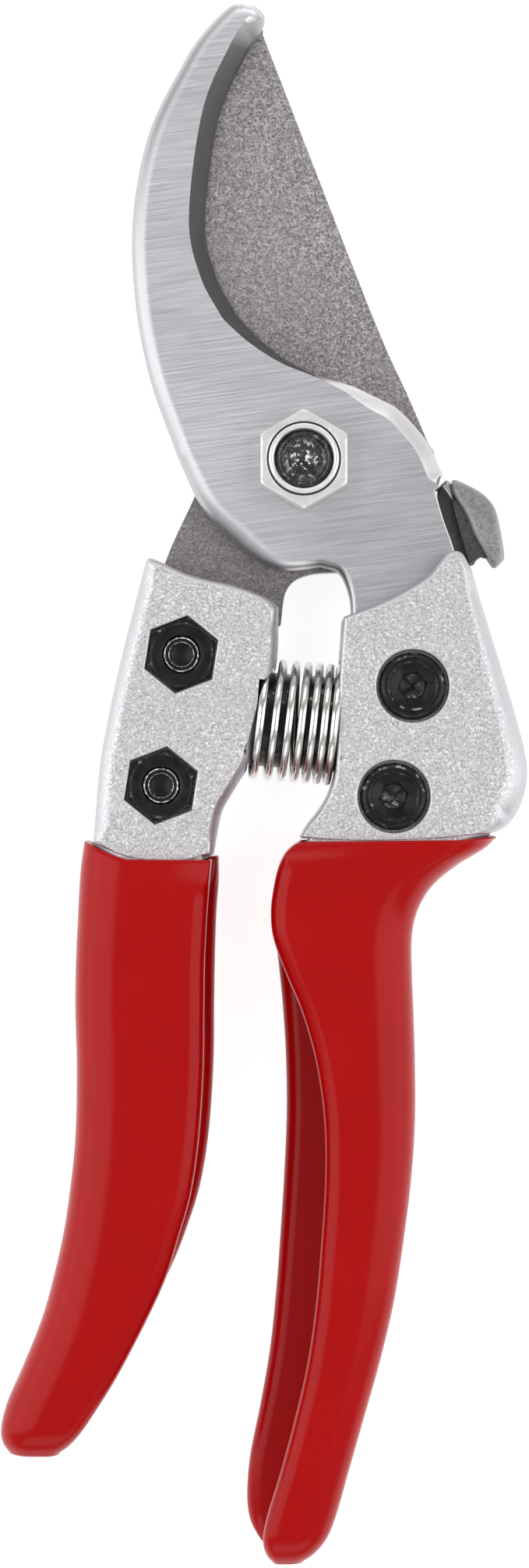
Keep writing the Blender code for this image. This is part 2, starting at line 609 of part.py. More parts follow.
def make_right_handle():
    """Casting that clamps the hook's tang, with socket heads in front and nuts behind."""
    runs = [(RIGHT_HEAD_TOP, 0.7, 0.7, 1.0), (RIGHT_HEAD_PALM, 2.0, 2.6, 0.5),
            (RIGHT_HEAD_BOTTOM, 0.2, 0.2, 1.0), (RIGHT_HEAD_INNER, 0.5, 0.5, 1.0)]
    handle = edged_plate("right_handle", runs, CAST_LOW, CAST_HIGH, "cast_aluminium", steps=2)
    join(handle, make_core("right_core", RIGHT_CORE_TOP, RIGHT_STATIONS, 1, RIGHT_RIM))
    seat_spring(handle, "right", SPRING_RIGHT_END, -spring_axis())
    tang = inset_loop(outline([(6.2, -19.0), *HOOK_TANG, (20.4, -14.0)],
                              [(20.4, -14.0), (6.2, -19.0)]), -GAP)
    cutters = [plate_object("hook_tang_slot", tang, HOOK_LOW - GAP, HOOK_TANG_HIGH + GAP),
               plate_object("hook_plate_slot", closed_polygon(SLOT_ABOVE_REBATE), HOOK_LOW - GAP,
                            HOOK_HIGH + GAP),
               plate_object("lock_room", closed_polygon(LOCK_ROOM), CAST_LOW - 1, HOOK_LOW - 0.1)]
    for name, centre in RIGHT_SCREWS.items():
        cutters += [post(name + "_hole", centre, SCREW_HOLE_RADIUS, CAST_LOW - 1, CAST_HIGH + 1),
                    post(name + "_counterbore", centre, SCREW_HEAD_RADIUS + GAP,
                         CAST_HIGH - SCREW_HEAD_THICKNESS - GAP, CAST_HIGH + 1),
                    post(name + "_nut_pocket", centre, NUT_POCKET_CORNER_RADIUS, CAST_LOW - 1,
                         CAST_LOW + NUT_THICKNESS + 2 * GAP, sides=6, turn_deg=RIGHT_NUT_TURN_DEG)]
    cut(handle, *cutters)
    return handle


def make_left_handle():
    """Casting that clamps the cutting blade's tang, with nuts in front and heads behind."""
    runs = [(LEFT_HEAD_TOP, 0.9, 0.9, 1.0), (LEFT_HEAD_INNER, 1.0, 2.4, 0.5),
            (LEFT_HEAD_BOTTOM, 0.2, 0.2, 1.0), (LEFT_HEAD_PALM, 1.9, 2.2, 1.0)]
    handle = edged_plate("left_handle", runs, CAST_LOW, CAST_HIGH, "cast_aluminium", steps=2)
    join(handle, make_core("left_core", LEFT_CORE_TOP, LEFT_STATIONS, -1, LEFT_RIM))
    seat_spring(handle, "left", SPRING_LEFT_END, spring_axis())
    tang = inset_loop(outline([(-2.0, -17.0), *BLADE_TANG[:-1]], [BLADE_TANG[-2], (-15.5, -7.0)],
                              [(-15.5, -7.0), (-2.0, -17.0)]), -GAP)
    cutters = [plate_object("blade_tang_slot", tang, BLADE_LOW - GAP, BLADE_HIGH + GAP)]
    for name, centre in LEFT_SCREWS.items():
        cutters += [post(name + "_hole", centre, SCREW_HOLE_RADIUS, CAST_LOW - 1, CAST_HIGH + 1),
                    post(name + "_counterbore", centre, SCREW_HEAD_RADIUS + GAP, CAST_LOW - 1,
                         CAST_LOW + SCREW_HEAD_THICKNESS + GAP),
                    post(name + "_nut_pocket", centre, NUT_POCKET_CORNER_RADIUS,
                         CAST_HIGH - NUT_THICKNESS - 2 * GAP, CAST_HIGH + 1, sides=6,
                         turn_deg=LEFT_NUT_TURN_DEG)]
    cut(handle, *cutters)
    return handle


# ---------------------------------------------------------------- pivot, screws and nuts
def hex_nut(name, centre, corner_radius, z_low, z_high, turn_deg, hole_radius, finish, collar=None):
    """Hexagon whose upper corners are taken off by a cone, with a plain hole."""
    nut = post(name, centre, corner_radius, z_low, z_high, sides=6, turn_deg=turn_deg)
    nut.data.materials.append(make_finish(finish))
    chamfer = turned_object(name + "_chamfer", [
        (corner_radius + 1.0, z_low - 1), (corner_radius + 1.0, z_high - 1.0),
        (0.88 * corner_radius, z_high + 0.01), (0.88 * corner_radius, z_high + 1)], centre, sides=32)
    boolean(nut, [chamfer], "INTERSECT")
    if collar:
        join(nut, collar)
    cut(nut, post(name + "_hole", centre, hole_radius, z_low - 1, z_high + 2, sides=20))
    return nut


def make_pivot():
    """Plain-headed bolt through both blades, with its washer and its nut in front."""
    bolt = turned_object("pivot_bolt", [
        (PIVOT_HEAD_RADIUS - 0.8, GRIP_LOW), (PIVOT_HEAD_RADIUS, GRIP_LOW + 0.8),
        (PIVOT_HEAD_RADIUS, BOLT_HEAD_TOP), (PIVOT_SHANK_RADIUS, BOLT_HEAD_TOP),
        (PIVOT_SHANK_RADIUS, PIVOT_NUT_HIGH - 1.0), (PIVOT_SHANK_RADIUS - 0.5, PIVOT_NUT_HIGH - 0.5),
        (PIVOT_SHANK_RADIUS - 1.2, PIVOT_NUT_HIGH - 0.5), (PIVOT_SHANK_RADIUS - 1.6, PIVOT_NUT_HIGH - 1.1),
        (0.8, PIVOT_NUT_HIGH - 1.3)], (0, 0), "bright_plated_steel")
    washer = turned_object("pivot_washer", [
        (PIVOT_HEAD_RADIUS, WASHER_LOW), (PIVOT_HEAD_RADIUS, WASHER_HIGH)], (0, 0), "spring_steel")
    cut(washer, post("washer_hole", (0, 0), PIVOT_SHANK_RADIUS + GAP, WASHER_LOW - 1, WASHER_HIGH + 1))
    collar = turned_object("pivot_nut_collar", [
        (PIVOT_COLLAR_RADIUS, PIVOT_NUT_HIGH - 1.0), (PIVOT_COLLAR_RADIUS, PIVOT_NUT_HIGH - 0.3),
        (PIVOT_COLLAR_RADIUS - 0.3, PIVOT_NUT_HIGH)], (0, 0))
    nut = hex_nut("pivot_nut", (0, 0), PIVOT_NUT_CORNER_RADIUS, PIVOT_NUT_LOW,
                  PIVOT_NUT_HIGH - PIVOT_COLLAR_HEIGHT, RIGHT_NUT_TURN_DEG, PIVOT_SHANK_RADIUS + GAP,
                  "bright_plated_steel", collar)
    return bolt, washer, nut


def make_screw(name, centre, head_low, head_high, shank_end, finish):
    """Low socket head; the screw points away from its head, and its end is slightly hollow."""
    up = shank_end < head_low
    top, bottom = (head_high, head_low) if up else (head_low, head_high)
    outward = 1 if up else -1
    end_dish = [(0.6, shank_end + 0.9 * outward), (1.5, shank_end + 0.6 * outward), (1.6, shank_end),
                (SCREW_RADIUS - 0.25, shank_end), (SCREW_RADIUS, shank_end + 0.25 * outward)]
    head = [(SCREW_RADIUS, bottom), (SCREW_HEAD_RADIUS, bottom), (SCREW_HEAD_RADIUS, top - 0.6 * outward),
            (SCREW_HEAD_RADIUS - 0.6, top), (2.4, top), (2.2, top - 0.4 * outward)]
    screw = turned_object(name, end_dish + head, centre, finish, sides=20)
    socket = plate_object(name + "_socket", circle(centre, SOCKET_RADIUS, 6, 10),
                          min(top, top - SOCKET_DEPTH * outward), max(top, top - SOCKET_DEPTH * outward))
    cut(screw, socket)
    return screw


def make_screws_and_nuts():
    pieces = []
    for name, centre in RIGHT_SCREWS.items():
        head_low = CAST_HIGH - SCREW_HEAD_THICKNESS
        pieces += [make_screw(name + "_screw", centre, head_low, CAST_HIGH - HEAD_SUNK, CAST_LOW + GAP,
                              "black_steel"),
                   hex_nut(name + "_nut", centre, NUT_CORNER_RADIUS, CAST_LOW + GAP,
                           CAST_LOW + GAP + NUT_THICKNESS, RIGHT_NUT_TURN_DEG, SCREW_HOLE_RADIUS,
                           "black_steel")]
    for name, centre in LEFT_SCREWS.items():
        head_high = CAST_LOW + SCREW_HEAD_THICKNESS
        nut_high = CAST_HIGH - GAP
        pieces += [make_screw(name + "_screw", centre, CAST_LOW + HEAD_SUNK, head_high, nut_high,
                              "black_steel"),
                   hex_nut(name + "_nut", centre, NUT_CORNER_RADIUS, nut_high - NUT_THICKNESS, nut_high,
                           LEFT_NUT_TURN_DEG, SCREW_HOLE_RADIUS, "black_steel")]
    return pieces


# ---------------------------------------------------------------- thumb lock
LOCK_WEB = [(14.9, -13.0), (15.6, -11.4), (16.9, -9.4), (17.7, -7.4), (17.3, -6.3), (15.5, -6.3),
            (15.35, -5.3), (18.3, -4.3), (20.4, -4.6), (23.2, -11.0), (22.2, -12.8), (20.6, -13.2),
            (19.2, -14.9), (17.0, -15.4), (15.3, -14.6)]
LOCK_RIB = [(19.3, -4.6), (19.4, -5.7), (20.9, -11.0), (21.5, -12.9), (22.1, -12.6), (22.9, -12.0),
            (23.6, -12.2), (23.6, -10.6), (21.6, -6.6), (20.4, -4.4)]
LOCK_PAD = [(19.0, -2.6), (19.6, -2.0), (21.7, -2.9), (23.3, -3.9), (24.5, -5.2), (25.1, -6.7), (25.6, -9.0),
            (26.0, -11.8), (25.7, -12.6), (24.8, -13.3), (23.9, -12.3), (22.1, -9.2), (20.9, -6.4),
            (19.4, -3.9)]


def make_lock():
    """Flat catch in the blade's layer, with a raised rib and a thumb pad along its outer edge.

    The lever's origin is on its pin's axis.
    """
    work = bmesh.new()
    add_plate(work, closed_polygon(LOCK_WEB), BLADE_LOW, BLADE_HIGH, edge_low=0.15, edge_high=0.15, steps=1)
    lever = new_object("lock_lever", work, "cast_lock_steel", at=(*LOCK_PIN_AT, 0.0))
    pad_loop = outline([*LOCK_PAD, LOCK_PAD[0]], per_span=2)
    pad = plate_object("lock_pad", pad_loop, LOCK_PAD_LOW, LOCK_PAD_HIGH, edge_low=0.45, edge_high=0.45)
    rib = plate_object("lock_rib", closed_polygon(LOCK_RIB), LOCK_RIB_LOW, LOCK_RIB_HIGH)
    join(lever, pad, rib)
    cut(lever, post("lock_lever_hole", LOCK_PIN_AT, LOCK_PIN_RADIUS + GAP, BLADE_LOW - 1, BLADE_HIGH + 1))
    pin = turned_object("lock_pin", [
        (LOCK_PIN_HEAD_RADIUS - 0.4, LOCK_PIN_LOW), (LOCK_PIN_HEAD_RADIUS, LOCK_PIN_LOW + 0.4),
        (LOCK_PIN_HEAD_RADIUS, LOCK_PIN_HEAD_TOP), (LOCK_PIN_RADIUS, LOCK_PIN_HEAD_TOP),
        (LOCK_PIN_RADIUS, LOCK_PIN_TOP - 0.3), (LOCK_PIN_RADIUS - 0.3, LOCK_PIN_TOP)],
        LOCK_PIN_AT, "bright_plated_steel", sides=20)
    washer = turned_object("lock_washer", [
        (LOCK_PIN_HEAD_RADIUS, LOCK_PIN_HEAD_TOP + GAP),
        (LOCK_PIN_HEAD_RADIUS, LOCK_PIN_HEAD_TOP + 2 * GAP)], LOCK_PIN_AT, "spring_steel", sides=20)
    cut(washer, post("lock_washer_hole", LOCK_PIN_AT, LOCK_PIN_RADIUS + GAP, LOCK_PIN_LOW, BLADE_HIGH))
    return lever, pin, washer


# ---------------------------------------------------------------- return spring
def make_spring():
    """Round wire along a left-handed helix whose pitch closes towards the right handle."""
    start = Vector((*SPRING_LEFT_END, SPRING_HEIGHT))
    finish = Vector((*SPRING_RIGHT_END, SPRING_HEIGHT))
    along = (finish - start).normalized()
    across = Vector((-along.y, along.x, 0.0))
    up = Vector((0.0, 0.0, 1.0))
    curve = bpy.data.curves.new("return_spring", "CURVE")
    curve.dimensions = "3D"
    curve.bevel_depth = SPRING_WIRE_RADIUS * MM
    curve.bevel_resolution = 1
    curve.use_fill_caps = True
    spline = curve.splines.new("POLY")
    count = int(SPRING_SIDES * SPRING_TURNS) + 1
    spline.points.add(count - 1)
    for k in range(count):
        t = k / (count - 1)
        angle = -math.tau * SPRING_TURNS * t - 0.5 * math.pi
        reach = t + SPRING_TIGHTENING * t * (1 - t)
        around = across * math.cos(angle) + up * math.sin(angle)
        place = start + (finish - start) * reach + around * SPRING_RADIUS
        spline.points[k].co = (*(place * MM), 1.0)
    item = bpy.data.objects.new("return_spring", curve)
    curve.materials.append(make_finish("spring_steel"))
    bpy.context.scene.collection.objects.link(item)
    return item


# ---------------------------------------------------------------- assembly
def main():
    for item in list(bpy.data.objects):
        bpy.data.objects.remove(item, do_unlink=True)
    make_hook()
    make_right_handle()
    make_grip("right_grip", RIGHT_STATIONS, 1, RIGHT_RIM)
    make_spring()
    blade_side = bpy.data.objects.new("blade_side_axis", None)
    bpy.context.scene.collection.objects.link(blade_side)
    moving = [make_cutting_blade(), make_left_handle(), make_grip("left_grip", LEFT_STATIONS, -1, LEFT_RIM)]
    make_pivot()
    fasteners = make_screws_and_nuts()
    moving += [piece for piece in fasteners if piece.name.startswith("left")]
    for piece in moving:
        piece.parent = blade_side
    make_lock()


main()
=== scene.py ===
import math

import bmesh
import bpy
import numpy as np
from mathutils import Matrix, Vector


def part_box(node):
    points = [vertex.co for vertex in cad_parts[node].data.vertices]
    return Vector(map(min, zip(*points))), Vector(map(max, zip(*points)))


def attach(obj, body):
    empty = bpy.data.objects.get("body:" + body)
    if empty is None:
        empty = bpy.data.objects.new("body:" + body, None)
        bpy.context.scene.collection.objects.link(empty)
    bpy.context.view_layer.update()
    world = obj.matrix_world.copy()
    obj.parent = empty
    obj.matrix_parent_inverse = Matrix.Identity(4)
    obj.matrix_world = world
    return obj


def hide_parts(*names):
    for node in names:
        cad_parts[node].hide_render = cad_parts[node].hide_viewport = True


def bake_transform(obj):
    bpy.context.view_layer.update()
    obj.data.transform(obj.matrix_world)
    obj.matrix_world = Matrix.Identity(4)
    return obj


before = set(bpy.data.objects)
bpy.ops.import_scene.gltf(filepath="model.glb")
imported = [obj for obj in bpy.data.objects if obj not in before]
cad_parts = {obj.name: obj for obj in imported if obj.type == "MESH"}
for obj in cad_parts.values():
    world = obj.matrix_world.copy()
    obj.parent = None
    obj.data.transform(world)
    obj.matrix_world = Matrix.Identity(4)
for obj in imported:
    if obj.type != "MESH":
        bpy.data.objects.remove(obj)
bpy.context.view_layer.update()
mm = 0.001
print("frame loaded:", len(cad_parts), "nodes")

# Curves and loops are worked out as whole arrays, in millimetres.

loops = {"perSpan": 10, "spacing": 0.3, "blendOver": 9, "foldReach": 70, "parallel": 1e-12, "touching": 1e-7,
         "edgeSteps": 6, "flatBand": 0.12, "weld": 1e-4}


def smoothRun(points, perSpan=loops["perSpan"]):
    # Catmull-Rom: half of 2b + (c-a)t + (2a-5b+4c-d)t^2 + (3b-a-3c+d)t^3, carried straight on at both ends
    p = np.asarray(points, float)
    if len(p) == 2:
        return p[0] + (p[1] - p[0]) * np.linspace(0, 1, perSpan + 1)[:, None]
    padded = np.vstack([2 * p[0] - p[1], p, 2 * p[-1] - p[-2]])
    a, b, c, d = (padded[k:len(padded) - 3 + k, None, :] for k in range(4))
    t = (np.arange(perSpan) / perSpan)[None, :, None]
    curve = 0.5 * (2 * b + (c - a) * t + (2 * a - 5 * b + 4 * c - d) * t**2 + (3 * b - a - 3 * c + d) * t**3)
    return np.vstack([curve.reshape(-1, p.shape[1]), p[-1]])


def evenly(curve, spacing=loops["spacing"]):
    # the same curve, walked at equal steps of its length
    along = np.concatenate([[0], np.cumsum(np.linalg.norm(np.diff(curve, axis=0), axis=1))])
    at = np.linspace(0, along[-1], max(2, int(round(along[-1] / spacing)) + 1))
    return np.column_stack([np.interp(at, along, column) for column in curve.T])


def joined(runs, spacing=loops["spacing"]):
    # smooth runs, walked evenly and laid end to end: each one leaves its last point to the next
    return [evenly(smoothRun(points), spacing)[:-1] for points in runs]


def anticlockwise(loop, marks=None):
    # the signed area is half the sum of x * next y - next x * y; where it is negative, the loop and the
    # marks beside it are turned round
    nextOne = np.roll(loop, -1, 0)
    area = 0.5 * np.sum(loop[:, 0] * nextOne[:, 1] - nextOne[:, 0] * loop[:, 1])
    way = -1 if area < 0 else 1
    return loop[::way] if marks is None else (loop[::way], marks[::way])


def averaged(values, reach):
    # the mean of each value and of its neighbours on both sides, round the loop
    return sum(np.roll(values, shift, 0) for shift in range(-reach, reach + 1)) / (2 * reach + 1)


def edgedLoop(runs, spacing=loops["spacing"], blendOver=loops["blendOver"]):
    # each run is (points, edge width, edge depth, roundness), where a pair of values changes evenly along
    # the run; all are averaged over a few points, so that one kind of edge flows into the next
    parts = joined([points for points, *_ in runs], spacing)
    edges = [np.column_stack([np.linspace(*np.broadcast_to(value, 2), len(part)) for value in edge])
             for part, (_, *edge) in zip(parts, runs)]
    loop, edges = anticlockwise(np.vstack(parts), np.vstack(edges))
    return loop, averaged(edges, blendOver)


def inwardNormals(loop):
    # the sum of the unit steps before and after each point, made a unit long and turned left by 90 degrees
    before = loop - np.roll(loop, 1, 0)
    after = np.roll(loop, -1, 0) - loop
    before /= np.linalg.norm(before, axis=1)[:, None]
    after /= np.linalg.norm(after, axis=1)[:, None]
    along = before + after
    along /= np.linalg.norm(along, axis=1)[:, None]
    return np.column_stack([-along[:, 1], along[:, 0]])


def untangled(ring):
    # an inset wider than a corner's radius folds over itself: each fold is drawn into its crossing point,
    # found from a + t (b - a) = c + s (d - c)
    ring = ring.copy()
    count = len(ring)
    for span in range(2, min(loops["foldReach"], count // 2)):
        a, b = ring[:, :2], np.roll(ring[:, :2], -1, 0)
        c, d = np.roll(ring[:, :2], -span, 0), np.roll(ring[:, :2], -span - 1, 0)
        first, second, gap = b - a, d - c, c - a
        cross = first[:, 0] * second[:, 1] - first[:, 1] * second[:, 0]
        cross = np.where(np.abs(cross) < loops["parallel"], np.inf, cross)
        t = (gap[:, 0] * second[:, 1] - gap[:, 1] * second[:, 0]) / cross
        s = (gap[:, 0] * first[:, 1] - gap[:, 1] * first[:, 0]) / cross
        apart = np.linalg.norm(b - c, axis=1) > loops["touching"]
        for i in np.flatnonzero((t > 0) & (t <= 1) & (s >= 0) & (s <= 1) & apart):
            inside = np.arange(i + 1, i + span + 1) % count
            ring[inside] = [*(a[i] + t[i] * first[i]), ring[inside, 2].mean()]
    return ring


def level(loop, z):
    return np.column_stack([loop, np.broadcast_to(z, len(loop))])


def edgeRings(loop, edges, zLow, zHigh, lowShare=0.0, steps=loops["edgeSteps"], flat=loops["flatBand"]):
    # a quarter ellipse where roundness is 1 and a straight slope where it is 0, as t goes from wall to face:
    # across = width * (t + roundness * (1 - cos - t)) and below = depth * (1 - t + roundness * (t - sin)), at
    # the angle of 90 t degrees; a last ring on the face keeps its shading flat
    normals = inwardNormals(loop)
    width, depth, roundness = edges.T

    def rounded(share, face, way):
        made = []
        for t in np.linspace(0, 1, steps + 1):
            across = width * share * (t + roundness * (1 - math.cos(0.5 * math.pi * t) - t))
            below = depth * share * (1 - t + roundness * (t - math.sin(0.5 * math.pi * t)))
            made.append(untangled(level(loop + normals * across[:, None], face - way * below)))
        return made + [untangled(level(loop + normals * (width * share + flat)[:, None], face))]

    lower = rounded(lowShare, zLow, -1)[::-1] if lowShare else [level(loop, zLow)]
    return lower + rounded(1.0, zHigh, 1)


def circleLoop(centre, radius, sides, turnDeg=0.0):
    # centre + radius * (cos a, sin a), at equal steps of the angle a
    angle = math.radians(turnDeg) + math.tau * np.arange(sides) / sides
    return np.column_stack([centre[0] + radius * np.cos(angle), centre[1] + radius * np.sin(angle)])


def hexLoop(centre, radius, turnDeg, perSide=1):
    # six corners on a circle, with each side cut into equal steps from one corner to the next
    corners = circleLoop(centre, radius, 6, turnDeg)
    nextOnes = np.roll(corners, -1, 0)
    t = (np.arange(perSide) / perSide)[None, :, None]
    return (corners[:, None] + (nextOnes - corners)[:, None] * t).reshape(-1, 2)


# Meshes are made in millimetres and kept in metres.

smallRounds = {"segments": 2, "angleDeg": 28}


def meshFromRings(name, rings, closedAlong=False):
    # a grid of rings: quads between neighbours, and a flat face over the first and the last ring
    rings = np.asarray(rings, float)
    count, across = rings.shape[:2]
    index = np.arange(count * across).reshape(count, across)
    low, high = (index, np.roll(index, -1, 0)) if closedAlong else (index[:-1], index[1:])
    quads = np.stack([low, np.roll(low, -1, 1), np.roll(high, -1, 1), high], -1).reshape(-1, 4)
    faces = quads.tolist()
    if not closedAlong:
        faces += [index[0, ::-1].tolist(), index[-1].tolist()]
    mesh = bpy.data.meshes.new(name)
    mesh.from_pydata((rings.reshape(-1, 3) * mm).tolist(), [], faces)
    work = bmesh.new()
    work.from_mesh(mesh)
    bmesh.ops.remove_doubles(work, verts=work.verts, dist=loops["weld"] * mm)
    bmesh.ops.dissolve_degenerate(work, edges=work.edges, dist=loops["weld"] * mm)
    bmesh.ops.recalc_face_normals(work, faces=work.faces)
    work.to_mesh(mesh)
    work.free()
    piece = bpy.data.objects.new(name, mesh)
    bpy.context.scene.collection.objects.link(piece)
    return piece


def prism(name, loop, zLow, zHigh):
    return meshFromRings(name, [level(loop, z) for z in (zLow, zHigh)])


def turned(name, profile, centre, sides=64):
    # a profile of (radius, height) carried round an upright axis
    angle = math.tau * np.arange(sides) / sides
    radius, height = np.asarray(profile, float).T
    x = centre[0] + radius[:, None] * np.cos(angle)
    y = centre[1] + radius[:, None] * np.sin(angle)
    return meshFromRings(name, np.stack([x, y, np.broadcast_to(height[:, None], x.shape)], -1))


def stacked(*stretches):
    # one profile from stretches of (radius, rise): each rise is counted from its stretch's own height, up
    # where way is 1 and down where it is -1
    return [(radius, height + way * rise) for height, way, points in stretches for radius, rise in points]


def applied(piece):
    # the piece keeps the shape that its modifiers give it
    bpy.context.view_layer.update()
    shaped = bpy.data.meshes.new_from_object(piece.evaluated_get(bpy.context.evaluated_depsgraph_get()))
    piece.modifiers.clear()
    piece.data = shaped


def combine(piece, tools, operation="DIFFERENCE"):
    for tool in tools:
        modifier = piece.modifiers.new(tool.name, "BOOLEAN")
        modifier.operation = operation
        modifier.object = tool
        modifier.solver = "EXACT"
    applied(piece)
    for tool in tools:
        bpy.data.objects.remove(tool)


def softened(piece, width):
    # small rounds along the sharp edges
    bevel = piece.modifiers.new("edges", "BEVEL")
    bevel.width = width * mm
    bevel.segments = smallRounds["segments"]
    bevel.limit_method = "ANGLE"
    bevel.angle_limit = math.radians(smallRounds["angleDeg"])
    bevel.use_clamp_overlap = True
    applied(piece)


def finished(piece, material, body, node, sharpDeg=35, weighted=True):
    # the piece takes its material, shading and body, and stands in for its CAD node
    piece.data.materials.clear()
    piece.data.materials.append(material)
    piece.data.shade_smooth()
    piece.data.set_sharp_from_angle(angle=math.radians(sharpDeg))
    if weighted:
        weight = piece.modifiers.new("facing", "WEIGHTED_NORMAL")
        weight.keep_sharp = True
        applied(piece)
    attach(piece, body)
    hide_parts(node)


# Materials are built from nodes on Object coordinates, which are in metres.

class Nodes:
    # a short way to add nodes: Nodes(name).add("ShaderNodeMath", {...inputs...}, setting=value)
    def __init__(self, name):
        self.material = bpy.data.materials.new(name)
        self.material.use_nodes = True
        self.tree = self.material.node_tree
        self.shader = self.tree.nodes["Principled BSDF"]
        self.place = self.add("ShaderNodeTexCoord").outputs["Object"]

    def add(self, kind, inputs=None, **settings):
        made = self.tree.nodes.new(kind)
        for key, value in settings.items():
            setattr(made, key, value)
        self.fill(made, inputs or {})
        return made

    def fill(self, made, inputs):
        for key, value in inputs.items():
            if isinstance(value, bpy.types.NodeSocket):
                self.tree.links.new(value, made.inputs[key])
            else:
                made.inputs[key].default_value = value

    def finish(self, colour, metallic, roughness, bump, **others):
        # the shader's main sockets, and others by their names with _ for a space
        others = {key.replace("_", " "): value for key, value in others.items()}
        self.fill(self.shader, {"Base Color": colour, "Metallic": metallic, "Roughness": roughness,
                                "Normal": bump, **others})
        return self.material

    def stretched(self, scale, turnDeg=0.0):
        # the pattern is turned by turnDeg and then squeezed by scale along its own axes
        sizes = tuple(1 / part for part in scale)
        inputs = {"Vector": self.place, "Scale": sizes, "Rotation": (0, 0, math.radians(turnDeg))}
        return self.add("ShaderNodeMapping", inputs, vector_type="TEXTURE").outputs["Vector"]

    def noise(self, vector, scale, detail=4.0, roughness=0.55):
        inputs = {"Vector": vector, "Scale": scale, "Detail": detail, "Roughness": roughness}
        return self.add("ShaderNodeTexNoise", inputs).outputs["Fac"]

    def speckles(self, scale):
        # one value for each small cell
        cells = self.add("ShaderNodeTexVoronoi", {"Vector": self.place, "Scale": scale}).outputs["Color"]
        return self.add("ShaderNodeSeparateColor", {"Color": cells}).outputs["Red"]

    def ramp(self, value, *stops):
        made = self.add("ShaderNodeValToRGB", {"Fac": value})
        band = made.color_ramp
        while len(band.elements) < len(stops):
            band.elements.new(0.5)
        for element, (position, colour) in zip(band.elements, stops):
            element.position = position
            element.color = (*colour, 1.0)
        return made.outputs["Color"]

    def span(self, value, fromLow, fromHigh, toLow, toHigh):
        made = self.add("ShaderNodeMapRange", {"Value": value, "From Min": fromLow, "From Max": fromHigh,
                                               "To Min": toLow, "To Max": toHigh})
        return made.outputs["Result"]

    def between(self, noise, low, high):
        # a noise mostly runs from 0.3 to 0.7, which is spread from low to high
        return self.span(noise, 0.3, 0.7, low, high)

    def mix(self, factor, first, second):
        made = self.add("ShaderNodeMix", data_type="RGBA")
        for index, value in ((0, factor), (6, first), (7, second)):
            if isinstance(value, bpy.types.NodeSocket):
                self.tree.links.new(value, made.inputs[index])
            else:
                made.inputs[index].default_value = value if index == 0 else (*value, 1.0)
        return made.outputs[2]

    def bump(self, height, strength, distance, normal=None):
        inputs = {"Height": height, "Strength": strength, "Distance": distance}
        if normal:
            inputs["Normal"] = normal
        return self.add("ShaderNodeBump", inputs).outputs["Normal"]

    def upness(self):
        # 1 on faces that look straight up or down, less on the edges' rounds
        return self.add("ShaderNodeMath", {0: self.facing("Z")}, operation="ABSOLUTE").outputs[0]

    def facing(self, axis):
        # how far a face looks along an axis of the tool
        normal = self.add("ShaderNodeTexCoord").outputs["Normal"]
        return self.add("ShaderNodeSeparateXYZ", {"Vector": normal}).outputs[axis]

    def toward(self, direction):
        # metres from the pivot along a direction
        made = self.add("ShaderNodeVectorMath", {0: self.place, 1: direction}, operation="DOT_PRODUCT")
        return made.outputs["Value"]

    def fromPivot(self):
        # metres from the pivot's axis: the height is squeezed almost to nothing
        flat = self.stretched((1.0, 1.0, 0.001))
        return self.add("ShaderNodeVectorMath", {0: flat}, operation="LENGTH").outputs["Value"]

    def times(self, *values):
        result = values[0]
        for value in values[1:]:
            result = self.add("ShaderNodeMath", {0: result, 1: value}, operation="MULTIPLY").outputs[0]
        return result


def grey(value, tint=(1.0, 1.0, 1.0)):
    return tuple(value * part for part in tint)


# Each finish's scales are in turns per metre, and a bump is (strength, height in metres).

polishedLook = {
    "tint": (1.0, 0.985, 1.03), "face": 0.66, "lineContrast": 0.15, "lines": (90, 4200, 90),
    "scratches": (30, 1500, 30), "clouds": (60, 130, 60), "lineTurnDeg": 8.0, "scratchTurnDeg": 14.0,
    "scratchLight": 0.84, "scratchDark": 0.40, "cloudDark": 0.44,
    "shadeWay": (0.6, -0.5, 0.0), "shade": 0.30, "shadeDark": 0.22,
    "bevelLeft": grey(0.50, (1.0, 0.985, 1.02)), "bevelRight": grey(0.83, (1.0, 0.97, 1.0)), "gapShade": 0.16,
    "wall": (0.085, 0.083, 0.088), "wallLight": 0.15, "ground": (300, 300, 5200), "wallMetal": 0.5,
    "roughFace": (0.35, 0.50), "roughEdge": 0.40, "bump": (0.10, 0.00003),
}


